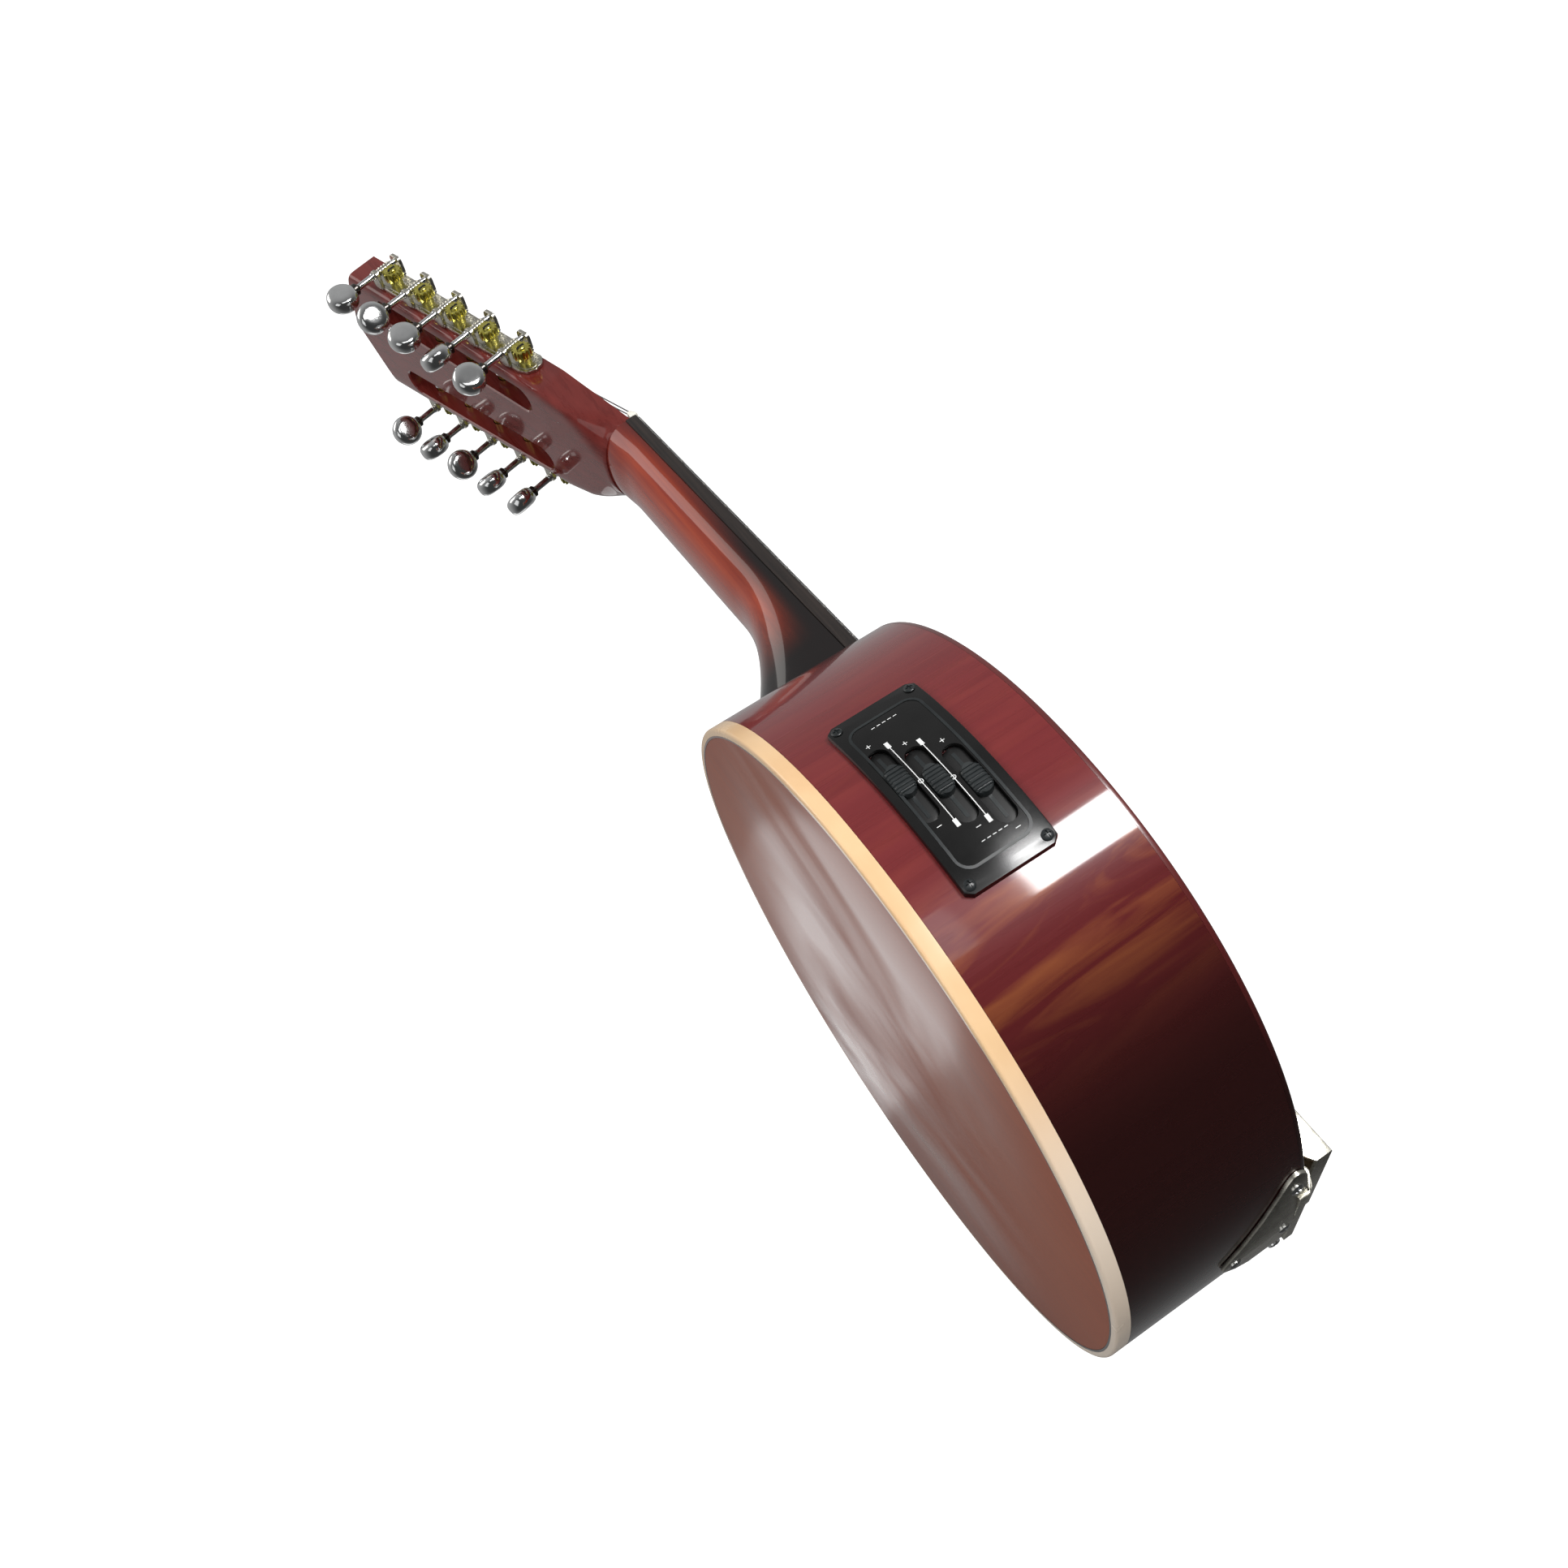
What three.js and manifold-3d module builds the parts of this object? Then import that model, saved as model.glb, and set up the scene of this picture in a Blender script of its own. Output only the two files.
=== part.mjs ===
// Charango with a round flat-backed body, a slotted headstock, ten geared tuners,
// a metal tailpiece with a slide-off cover and a three-slider side preamp.
// Millimetres. The instrument hangs by its headstock: +Z runs up the neck, +X is the
// treble side, the soundboard faces -Y and the flat back faces +Y.

import * as THREE from 'three';
import { mergeVertices } from 'three/addons/utils/BufferGeometryUtils.js';
import Module from 'manifold-3d';

const wasm = await Module();
wasm.setup();

// ---------------------------------------------------------------- driving dimensions

const GAP = 0.3;                        // clearance between glued or resting pieces

const BODY_LENGTH = 245;                // tail to neck joint
const BODY_WIDTH = 260;
const BODY_DEPTH = 72;                  // back face to soundboard face
const BODY_STEPS = 60;                  // straight steps in the body outline
const HEAD_ROUNDNESS = 2.0;             // superellipse exponent of the head half
const TAIL_ROUNDNESS = 2.1;             // the tail half is a little fuller
const BACK_THICKNESS = 3;
const TOP_THICKNESS = 2;
const RIM_THICKNESS = 3;
const BACK_BINDING = { width: 2.5, height: 5.5 };
const TOP_BINDING = { width: 2, height: TOP_THICKNESS };
const LINING = { width: 6, height: 12 };
const BRACE = { width: 6, depth: 8 };
const SOUND_HOLE = { z: 147, radius: 28 };

const NUT_Z = 434;                      // end of the fingerboard, at the nut
const SCALE_LENGTH = 378;
const BOARD = { nutHalf: 24, bodyHalf: 28, endHalf: 29.3, thickness: 6, overBody: 63 };
const BOARD_TOP_AT_BODY = 9;            // above the soundboard, at the neck joint
const BOARD_TOP_AT_NUT = 3.6;
const NECK_LENGTH = NUT_Z - BODY_LENGTH;
const NECK_TILT = Math.atan((BOARD_TOP_AT_BODY - BOARD_TOP_AT_NUT) / NECK_LENGTH);
const NECK = { inset: 0.8, depthNut: 13, depthBody: 15, roundness: 2.2 };
const NUT = { length: 4.3, crest: 1.4, slope: 2 };
const HEEL = { length: 80, drop: 47, power: 1.9 };

const HEAD_TILT = THREE.MathUtils.degToRad(15.2);
const HEAD_TAPER = THREE.MathUtils.degToRad(1.9);    // each side widens towards the tip
const HEAD_FACE_ABOVE_TOP = 0;          // headstock face at the nut, above the soundboard
const HEAD = { half: 29.8, thickness: 18, shoulder: 43, square: 27, corner: 188, tip: 203, roundness: 14 };
const SLOT = { wall: 5.5, width: 14, start: 52, end: 170 };
const SQUARING_POWER = 2.6;             // how late the round neck turns into the flat headstock
const RAMP = { start: 24, end: 60, depth: 7, width: 19 };

const TUNER_COUNT = 5;                  // on each side
const TUNER_PITCH = 24.3;
const FIRST_WORM = 67.6;                // from the nut, along the headstock's side
const WORM = { out: 8.2, radius: 2.2, shaft: 1.1, length: 9 };    // out: from the wood's side
const GEAR = { radius: 4.8, width: 5, offset: 7.2, depth: 8 };
const ROLLER = { radius: 3.2, seat: 5 };
const PLATE = { gapToWood: 0.3, thickness: 1.5, front: 0.5, back: 13.5, endRadius: 6.5 };
const TAB = { front: -0.8, back: 14.6, thickness: 1.8, outer: 10.4, low: 3.5, high: 4.5, backHalf: 3 };
const KNOB = { centre: 34.8, radius: 7.7, half: 4.4 };
const KNOB_TURNS = { bass: [115, 55, 105, 135, 100], treble: [137, 125, 40, 118, 45] };   // degrees

const STRING_RADIUS = 0.35;
const STRING_AT_NUT = 1.35;             // string axis above the fingerboard
const STRING_AT_JOINT = 2.2;
const COURSE_SPACING = 9.4;             // at the nut
const COURSE_GAP = 2.2;                 // between the two strings of a course
const COURSE_SPACING_BRIDGE = 11.2;
const COURSE_SPACING_TAIL = 8.8;

const BRIDGE_Z = NUT_Z - SCALE_LENGTH;
const BRIDGE = { half: 45, length: 9, height: 14, foot: 17, archHeight: 4, topHalf: 27 };
const SADDLE = { half: 25, length: 2.4, sink: 3 };

const TAIL = { wingHalf: 37, half: 20.5, sheet: 1.2, shoulder: 62, tip: 39, tipHalf: 4, lift: 3.4, end: 20 };
const COVER = { half: 25.5, top: 12.5, lip: 6, skirt: 9, sheet: 1, start: 4, end: 27, slope: 5 };
const HOOK = { z: 10, length: 2, width: 1.6, height: 2.4 };

const PANEL = { z: 127.3, depth: 34.4, width: 31.4, length: 72, thickness: 1.8 };
const SLIDER_SLOT = { width: 7, length: 31, pitch: 8.7, stagger: 6.2, start: 17.4, towardsBack: 0.8 };
const SLIDER = { width: 6.2, length: 11.5, rise: 1.6, aboveCentre: 1, stem: 1.6, stemLength: 4 };
const HOUSING = { z: 125, width: 24.4, length: 54, depth: 26, face: 126, groove: 2.6, grooveDepth: 4.6 };
const HOUSING_GROOVE_LENGTH = 36;

const JACK = { z: 122.5, depth: 36, bore: 3.5, barrel: 6, flange: 9, flangeHeight: 2, length: 31 };
const BATTERY = { x: -60, z: 38, width: 26.5, length: 48.5, depth: 17.5 };
const PICKUP = { radius: 10, thickness: 1 };

const HANG_POINT = new THREE.Vector3(0, -62, 458);  // where a wall hanger's fork holds it

// ---------------------------------------------------------------- materials

function material(color, roughness, metalness = 0) {
  return new THREE.MeshStandardMaterial({ color, roughness, metalness });
}

const MATERIALS = {
  backWood: () => material(0x8a4038, 0.18),
  sideWood: () => material(0x6a1f1c, 0.16),
  creamBinding: () => material(0xeac38c, 0.3),
  darkBinding: () => material(0x1c0d0b, 0.3),
  spruce: () => material(0xc88a4c, 0.25),
  innerWood: () => material(0xb08a60, 0.8),
  neckWood: () => material(0x8c2a14, 0.15),
  headWood: () => material(0x7a2f28, 0.16),
  ebony: () => material(0x14100e, 0.4),
  bone: () => material(0xe9e2cf, 0.4),
  bridgeWood: () => material(0x3a1f14, 0.4),
  nickel: () => material(0xb8b9b0, 0.28, 1),
  chrome: () => material(0xd4d6d6, 0.1, 1),
  brass: () => material(0xb7a03a, 0.3, 1),
  steel: () => material(0xc9cacb, 0.25, 1),
  blackPlastic: () => material(0x141514, 0.35),
  sliderPlastic: () => material(0x1d2021, 0.45),
  housingPlastic: () => material(0x202020, 0.6),
  battery: () => material(0x33373b, 0.5),
};

// ---------------------------------------------------------------- solids

function toSolid(geometry) {
  const plain = geometry.clone();
  plain.deleteAttribute('normal');
  plain.deleteAttribute('uv');
  const merged = mergeVertices(plain, 1e-4);
  const vertProperties = new Float32Array(merged.getAttribute('position').array);
  const triVerts = new Uint32Array(merged.getIndex().array);
  return new wasm.Manifold(new wasm.Mesh({ numProp: 3, vertProperties, triVerts }));
}

function toGeometry(solid) {
  const mesh = solid.getMesh();
  const geometry = new THREE.BufferGeometry();
  geometry.setAttribute('position', new THREE.BufferAttribute(mesh.vertProperties, 3));
  geometry.setIndex(new THREE.BufferAttribute(mesh.triVerts, 1));
  geometry.computeVertexNormals();
  return geometry;
}

function join(...geometries) {
  return toGeometry(geometries.map(toSolid).reduce((a, b) => a.add(b)));
}

function cut(geometry, ...cutters) {
  return toGeometry(cutters.map(toSolid).reduce((a, b) => a.subtract(b), toSolid(geometry)));
}

function common(geometry, other) {
  return toGeometry(toSolid(geometry).intersect(toSolid(other)));
}

// A box given by its lowest and highest corners.
function block(x0, x1, y0, y1, z0, z1) {
  const box = new THREE.BoxGeometry(x1 - x0, y1 - y0, z1 - z0);
  return box.translate((x0 + x1) / 2, (y0 + y1) / 2, (z0 + z1) / 2);
}

// A rod between two points.
function rod(from, to, radius, sides) {
  const span = new THREE.Vector3().subVectors(to, from);
  const cylinder = new THREE.CylinderGeometry(radius, radius, span.length(), sides);
  const along = span.clone().normalize();
  const turn = new THREE.Quaternion().setFromUnitVectors(new THREE.Vector3(0, 1, 0), along);
  cylinder.applyQuaternion(turn);
  const middle = new THREE.Vector3().addVectors(from, to).multiplyScalar(0.5);
  return cylinder.translate(middle.x, middle.y, middle.z);
}

// A shape drawn in X and Z, extruded from y = back towards the front (-Y).
function slab(shape, back, thickness) {
  const settings = { depth: thickness, bevelEnabled: false, curveSegments: 10 };
  const geometry = new THREE.ExtrudeGeometry(shape, settings);
  return geometry.rotateX(Math.PI / 2).translate(0, back, 0);
}

// A shape drawn in X and Y, extruded upwards from z = start.
function column(shape, start, length) {
  const settings = { depth: length, bevelEnabled: false, curveSegments: 8 };
  const geometry = new THREE.ExtrudeGeometry(shape, settings);
  return geometry.translate(0, 0, start);
}

// A shape drawn in Y and Z, extruded along X from x0 to x1.
function prism(shape, x0, x1) {
  const settings = { depth: x1 - x0, bevelEnabled: false, curveSegments: 4 };
  const geometry = new THREE.ExtrudeGeometry(shape, settings);
  geometry.applyMatrix4(new THREE.Matrix4().set(0, 0, 1, 0, 1, 0, 0, 0, 0, 1, 0, 0, 0, 0, 0, 1));
  return geometry.translate(x0, 0, 0);
}

// A round-ended slot outline between two points on a line parallel to the second axis.
function stadium(centre, start, end, width) {
  const radius = width / 2;
  const shape = new THREE.Shape();
  shape.absarc(centre, end - radius, radius, 0, Math.PI, false);
  shape.absarc(centre, start + radius, radius, Math.PI, 2 * Math.PI, false);
  return shape;
}

// A bar whose D section (flat side at y = 0, round side towards +Y) changes along Z.
// size(z) gives its half width, depth and roundness; top(z) its flat side's y.
const SECTION_STEPS = 12;

function dBar(start, end, steps, size, top) {
  const points = [];
  for (let i = 0; i <= SECTION_STEPS; i += 1) {
    const angle = Math.PI * i / SECTION_STEPS;
    points.push(new THREE.Vector2(Math.cos(angle), Math.sin(angle)));
  }
  const length = end - start;
  const settings = { depth: length, steps, bevelEnabled: false };
  const bar = new THREE.ExtrudeGeometry(new THREE.Shape(points), settings);
  const position = bar.getAttribute('position');
  for (let i = 0; i < position.count; i += 1) {
    const z = start + position.getZ(i);
    const { half, depth, roundness } = size(z);
    const power = 2 / roundness;
    const x = position.getX(i);
    const y = Math.max(position.getY(i), 0);
    position.setXYZ(i, half * Math.sign(x) * Math.abs(x) ** power, top(z) + depth * y ** power, z);
  }
  return bar;
}

// ---------------------------------------------------------------- body outline

// Point on the body outline: angle from the neck towards the treble side.
function outlinePoint(angle, inset = 0) {
  const side = Math.sin(angle);
  const along = Math.cos(angle);
  const power = 2 / (along >= 0 ? HEAD_ROUNDNESS : TAIL_ROUNDNESS);
  const x = (BODY_WIDTH / 2 - inset) * Math.sign(side) * Math.abs(side) ** power;
  const z = BODY_LENGTH / 2 + (BODY_LENGTH / 2 - inset) * Math.sign(along) * Math.abs(along) ** power;
  return new THREE.Vector2(x, z);
}

function outlinePoints(inset) {
  const points = [];
  for (let i = 0; i < BODY_STEPS; i += 1) {
    points.push(outlinePoint(-2 * Math.PI * i / BODY_STEPS, inset));
  }
  return points;
}

function bodyShape(inset) {
  return new THREE.Shape(outlinePoints(inset));
}

function bodyRing(outerInset, innerInset, back, height) {
  const shape = bodyShape(outerInset);
  shape.holes.push(new THREE.Path(outlinePoints(innerInset)));
  return slab(shape, back, height);
}

// Half width of the body at height z, less an inset.
function halfWidthAt(z, inset) {
  const t = Math.abs(z - BODY_LENGTH / 2) / (BODY_LENGTH / 2 - inset);
  const roundness = z >= BODY_LENGTH / 2 ? HEAD_ROUNDNESS : TAIL_ROUNDNESS;
  return (BODY_WIDTH / 2 - inset) * (1 - t ** roundness) ** (1 / roundness);
}

// ---------------------------------------------------------------- scene graph

const instrument = new THREE.Group();
instrument.position.copy(HANG_POINT).negate();

const neckGroup = new THREE.Group();    // y = 0 on the fingerboard's top, z = 0 at the neck joint
neckGroup.position.set(0, -(BODY_DEPTH + BOARD_TOP_AT_BODY), BODY_LENGTH);
neckGroup.rotation.x = -NECK_TILT;

const headGroup = new THREE.Group();    // y = 0 on the headstock's face, z = 0 at the nut
headGroup.position.set(0, -(BODY_DEPTH + HEAD_FACE_ABOVE_TOP), NUT_Z);
headGroup.rotation.x = -HEAD_TILT;

instrument.add(neckGroup, headGroup);

// One frame per tuner row, on the headstock's side and turned to follow its taper.
function tunerRow(side) {
  const group = new THREE.Group();
  group.position.set(side * HEAD.half, 0, 0);
  group.rotation.y = side * HEAD_TAPER;
  headGroup.add(group);
  return { group, side };
}

const tunerRows = { bass: tunerRow(-1), treble: tunerRow(1) };

function add(group, name, geometry, makeMaterial) {
  const mesh = new THREE.Mesh(geometry, makeMaterial());
  mesh.name = name;
  group.add(mesh);
}

// Carries a point of a tuner row's frame into the instrument's frame.
function fromRow(row, x, y, z) {
  row.group.updateMatrix();
  headGroup.updateMatrix();
  return new THREE.Vector3(row.side * x, y, z).applyMatrix4(row.group.matrix).applyMatrix4(headGroup.matrix);
}

// ---------------------------------------------------------------- body

const RIM_BACK = -(BACK_BINDING.height + GAP);
const RIM_FRONT = -(BODY_DEPTH - TOP_THICKNESS - GAP);
const INNER_BACK = -(BACK_THICKNESS + GAP);
const INNER_INSET = RIM_THICKNESS + GAP;
const LINING_INSET = INNER_INSET + LINING.width;
const BLOCK_INSET = LINING_INSET + GAP;

function buildPlates() {
  const back = slab(bodyShape(BACK_BINDING.width + GAP), 0, BACK_THICKNESS);
  add(instrument, 'back_plate', back, MATERIALS.backWood);
  add(instrument, 'back_binding', bodyRing(0, BACK_BINDING.width, 0, BACK_BINDING.height),
    MATERIALS.creamBinding);

  const top = bodyShape(TOP_BINDING.width + GAP);
  const hole = new THREE.Path();
  hole.absarc(0, SOUND_HOLE.z, SOUND_HOLE.radius, 0, 2 * Math.PI, false);
  top.holes.push(hole);
  const topBack = -(BODY_DEPTH - TOP_THICKNESS);
  add(instrument, 'soundboard', slab(top, topBack, TOP_THICKNESS), MATERIALS.spruce);
  add(instrument, 'soundboard_binding', bodyRing(0, TOP_BINDING.width, topBack, TOP_BINDING.height),
    MATERIALS.darkBinding);
}

function buildRim() {
  const ring = bodyRing(0, RIM_THICKNESS, RIM_BACK, RIM_BACK - RIM_FRONT);
  const side = BODY_WIDTH / 2;
  const halfY = HOUSING.width / 2 + GAP;
  const halfZ = HOUSING.length / 2 + GAP;
  const preampCut = block(-side - 5, -side / 2, -PANEL.depth - halfY, -PANEL.depth + halfY,
    HOUSING.z - halfZ, HOUSING.z + halfZ);
  const jackCut = rod(new THREE.Vector3(side / 2, -JACK.depth, JACK.z),
    new THREE.Vector3(side + 5, -JACK.depth, JACK.z), JACK.barrel + GAP, 20);
  add(instrument, 'side_rim', cut(ring, preampCut, jackCut), MATERIALS.sideWood);
}

function buildLinings() {
  add(instrument, 'back_lining', bodyRing(INNER_INSET, LINING_INSET, INNER_BACK, LINING.height),
    MATERIALS.innerWood);
  const front = RIM_FRONT + LINING.height;
  add(instrument, 'front_lining', bodyRing(INNER_INSET, LINING_INSET, front, LINING.height),
    MATERIALS.innerWood);
}

function buildBlocks() {
  const inside = slab(bodyShape(BLOCK_INSET), INNER_BACK, INNER_BACK - RIM_FRONT);
  const depth = BODY_DEPTH + GAP;
  add(instrument, 'neck_block', common(inside, block(-32, 32, -depth, GAP, 208, BODY_LENGTH)),
    MATERIALS.innerWood);
  add(instrument, 'tail_block', common(inside, block(-30, 30, -depth, GAP, 0, 28)), MATERIALS.innerWood);
}

// A bar across the body with its ends cut down, lying against a plate.
function braceBar(z, against, towards) {
  const reach = BRACE.width / 2;
  const half = Math.min(halfWidthAt(z - reach, BLOCK_INSET), halfWidthAt(z + reach, BLOCK_INSET)) - 2;
  const deep = against + towards * BRACE.depth;
  const thin = against + towards * BRACE.depth / 3;
  const shape = new THREE.Shape();
  shape.moveTo(-half, against);
  shape.lineTo(half, against);
  shape.lineTo(half, thin);
  shape.lineTo(half - 18, deep);
  shape.lineTo(-half + 18, deep);
  shape.lineTo(-half, thin);
  return column(shape, z - BRACE.width / 2, BRACE.width);
}

function buildBraces() {
  add(instrument, 'soundboard_brace_upper', braceBar(190, RIM_FRONT, 1), MATERIALS.innerWood);
  add(instrument, 'soundboard_brace_lower', braceBar(98, RIM_FRONT, 1), MATERIALS.innerWood);
  add(instrument, 'back_brace', braceBar(140, INNER_BACK, -1), MATERIALS.innerWood);
}

// ---------------------------------------------------------------- neck

function neckSize(z) {
  const t = z / NECK_LENGTH;
  const half = THREE.MathUtils.lerp(BOARD.bodyHalf, BOARD.nutHalf, t) - NECK.inset;
  const straight = THREE.MathUtils.lerp(NECK.depthBody, NECK.depthNut, t);
  const heel = HEEL.drop * Math.max(1 - z / HEEL.length, 0) ** HEEL.power;
  return { half, depth: straight + heel, roundness: NECK.roundness };
}

function buildNeck() {
  const board = new THREE.Shape();
  board.moveTo(-BOARD.endHalf, -BOARD.overBody);
  board.lineTo(BOARD.endHalf, -BOARD.overBody);
  board.lineTo(BOARD.nutHalf, NECK_LENGTH);
  board.lineTo(-BOARD.nutHalf, NECK_LENGTH);
  add(neckGroup, 'fingerboard', slab(board, BOARD.thickness, BOARD.thickness), MATERIALS.ebony);

  const top = BOARD.thickness + GAP;
  const shaft = dBar(0, NECK_LENGTH - 1, 16, neckSize, () => top);
  const tongueHalf = BOARD.bodyHalf - NECK.inset;
  const tongue = block(-tongueHalf, tongueHalf, top, top + 8, 1 - BOARD.overBody, 1);
  const bodyEnvelope = slab(bodyShape(-GAP), 1, BODY_DEPTH + GAP + 1);
  neckGroup.updateMatrix();
  bodyEnvelope.applyMatrix4(neckGroup.matrix.clone().invert());
  add(neckGroup, 'neck', cut(join(shaft, tongue), bodyEnvelope), MATERIALS.neckWood);
}

// ---------------------------------------------------------------- headstock

// Half width of the headstock at a distance s from the nut.
function headHalf(s) {
  return HEAD.half + s * Math.tan(HEAD_TAPER);
}

function headSize(s) {
  const spread = THREE.MathUtils.clamp(s / HEAD.shoulder, 0, 1);
  const squared = THREE.MathUtils.clamp(s / HEAD.square, 0, 1) ** SQUARING_POWER;
  return {
    half: THREE.MathUtils.lerp(BOARD.nutHalf - NECK.inset, headHalf(HEAD.shoulder), spread),
    depth: THREE.MathUtils.lerp(HEAD.thickness - 0.6, HEAD.thickness, spread),
    roundness: THREE.MathUtils.lerp(NECK.roundness, HEAD.roundness, squared),
  };
}

function wormAt(index) {
  return FIRST_WORM + index * TUNER_PITCH;
}

function rollerAt(index) {
  return wormAt(index) - GEAR.offset;
}

function buildHeadstock() {
  const shoulders = dBar(-8, HEAD.shoulder, 9, headSize, () => 0);
  const outline = new THREE.Shape();
  outline.moveTo(-headHalf(HEAD.shoulder), HEAD.shoulder - 0.5);
  outline.lineTo(headHalf(HEAD.shoulder), HEAD.shoulder - 0.5);
  outline.lineTo(headHalf(HEAD.corner), HEAD.corner);
  outline.lineTo(0, HEAD.tip);
  outline.lineTo(-headHalf(HEAD.corner), HEAD.corner);
  const paddle = slab(outline, HEAD.thickness, HEAD.thickness);

  headGroup.updateMatrix();
  const belowNut = block(-60, 60, -200, 0, NUT_Z - 60, NUT_Z + GAP / 2);
  belowNut.applyMatrix4(headGroup.matrix.clone().invert());
  const cutters = [belowNut];
  for (const row of Object.values(tunerRows)) {
    const { group, side } = row;
    const outer = -side * SLOT.wall;
    const inner = outer - side * SLOT.width;
    const slot = slab(stadium((outer + inner) / 2, SLOT.start, SLOT.end, SLOT.width), HEAD.thickness + 1,
      HEAD.thickness + 2);
    const wedge = new THREE.Shape();
    wedge.moveTo(-1, RAMP.start);
    wedge.lineTo(0, RAMP.start);
    wedge.lineTo(RAMP.depth, RAMP.end);
    wedge.lineTo(-1, RAMP.end);
    const rampEnd = outer - side * RAMP.width;
    const ramp = prism(wedge, Math.min(outer, rampEnd), Math.max(outer, rampEnd));
    const holes = [];
    for (let i = 0; i < TUNER_COUNT; i += 1) {
      const from = new THREE.Vector3(inner - side * (ROLLER.seat + GAP), GEAR.depth, rollerAt(i));
      const to = new THREE.Vector3(side * 2, GEAR.depth, rollerAt(i));
      holes.push(rod(from, to, ROLLER.radius + 2 * GAP, 8));
    }
    for (const cutter of [slot, ramp, ...holes]) {
      group.updateMatrix();
      cutters.push(cutter.applyMatrix4(group.matrix));
    }
  }
  add(headGroup, 'headstock', cut(join(shoulders, paddle), ...cutters), MATERIALS.headWood);
}

function buildNut() {
  const nutBack = -(BODY_DEPTH + HEAD_FACE_ABOVE_TOP + GAP);
  const nutFront = -(BODY_DEPTH + BOARD_TOP_AT_NUT + STRING_AT_NUT - STRING_RADIUS - GAP);
  const profile = new THREE.Shape();
  profile.moveTo(nutBack, NUT_Z + GAP);
  profile.lineTo(nutFront, NUT_Z + GAP);
  profile.lineTo(nutFront, NUT_Z + NUT.crest);
  profile.lineTo(nutFront + NUT.slope, NUT_Z + NUT.length);
  profile.lineTo(nutBack, NUT_Z + NUT.length);
  add(instrument, 'nut', prism(profile, -BOARD.nutHalf, BOARD.nutHalf), MATERIALS.bone);
}

// ---------------------------------------------------------------- tuners

// A tuner row's own frame has x = 0 on the wood's side and x growing away from the wood on the
// treble side; the bass row is its mirror image.
function buildTunerPlate(row, label) {
  const inner = PLATE.gapToWood;
  const outer = inner + PLATE.thickness;
  const middle = (PLATE.front + PLATE.back) / 2;
  const first = rollerAt(0) - 1;
  const last = wormAt(TUNER_COUNT - 1) + 4;
  const outline = stadium(middle, first - PLATE.endRadius, last + PLATE.endRadius, 2 * PLATE.endRadius);
  const pieces = [prism(outline, inner, outer)];
  const cutters = [];
  for (let i = 0; i < TUNER_COUNT; i += 1) {
    const worm = wormAt(i);
    const start = worm - TAB.low;
    const end = worm + TAB.high;
    pieces.push(block(inner + 0.2, TAB.outer, TAB.front, TAB.front + TAB.thickness, start, end));
    pieces.push(block(inner + 0.2, outer, TAB.front + 0.2, PLATE.front + 2, start, end));
    pieces.push(block(inner + 0.2, TAB.outer, TAB.back - TAB.thickness, TAB.back, worm - TAB.backHalf,
      worm + TAB.backHalf));
    pieces.push(block(inner + 0.2, outer, PLATE.back - 2, TAB.back - 0.2,
      worm - TAB.backHalf, worm + TAB.backHalf));
    cutters.push(rod(new THREE.Vector3(WORM.out, TAB.front - 2, worm),
      new THREE.Vector3(WORM.out, TAB.back + 2, worm), WORM.shaft + GAP, 8));
    cutters.push(rod(new THREE.Vector3(inner - 2, GEAR.depth, rollerAt(i)),
      new THREE.Vector3(outer + 2, GEAR.depth, rollerAt(i)), ROLLER.radius + 2 * GAP, 8));
  }
  addToRow(row, `tuner_plate_${label}`, cut(join(...pieces), ...cutters), MATERIALS.nickel);
}

// Adds a piece drawn for the treble side; for the bass side x is negated and the triangles turned over.
function addToRow(row, name, geometry, makeMaterial) {
  if (row.side < 0) {
    geometry.scale(-1, 1, 1);
    const index = geometry.getIndex().array;
    for (let i = 0; i < index.length; i += 3) {
      [index[i + 1], index[i + 2]] = [index[i + 2], index[i + 1]];
    }
  }
  add(row.group, name, geometry, makeMaterial);
}

// Worm shaft and knob, turned on one axis; a lens-shaped knob stands on the shaft's end.
function knobGeometry(turn) {
  const wormFrom = GEAR.depth - WORM.length / 2;
  const wormTo = GEAR.depth + WORM.length / 2;
  const profile = [
    [0, TAB.front - 0.6], [WORM.shaft, TAB.front - 0.6],
    [WORM.shaft, wormFrom], [WORM.radius, wormFrom + 0.4],
    [WORM.radius, wormTo - 0.4], [WORM.shaft, wormTo],
    [WORM.shaft, TAB.back + 0.5], [1.9, TAB.back + 0.9],
    [1.5, 24], [2.6, 26.4], [2.6, 29], [0, 29],
  ].map(([r, y]) => new THREE.Vector2(r, y));
  const shaft = new THREE.LatheGeometry(profile, 8);
  const { radius, half } = KNOB;
  const lens = new THREE.LatheGeometry([
    [0, -half], [radius * 0.75, -half], [radius, -half * 0.5],
    [radius, half * 0.5], [radius * 0.75, half], [0, half],
  ].map(([r, y]) => new THREE.Vector2(r, y)), 14);
  lens.rotateX(Math.PI / 2);
  lens.rotateY(THREE.MathUtils.degToRad(turn));
  lens.translate(0, KNOB.centre, 0);
  return join(shaft, lens);
}

// Roller and its gear on one spindle along X, drawn for the treble side.
function rollerGeometry() {
  const gearFrom = WORM.out - GEAR.width / 2;
  const gearTo = WORM.out + GEAR.width / 2;
  const inner = -(SLOT.wall + SLOT.width + ROLLER.seat);
  const profile = [
    [0, inner], [ROLLER.radius, inner], [ROLLER.radius, gearFrom],
    [GEAR.radius, gearFrom], [GEAR.radius, gearTo],
    [2.4, gearTo], [2.4, gearTo + 1.1], [0, gearTo + 1.1],
  ].map(([r, y]) => new THREE.Vector2(r, y));
  return new THREE.LatheGeometry(profile, 12).rotateZ(-Math.PI / 2);
}

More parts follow.
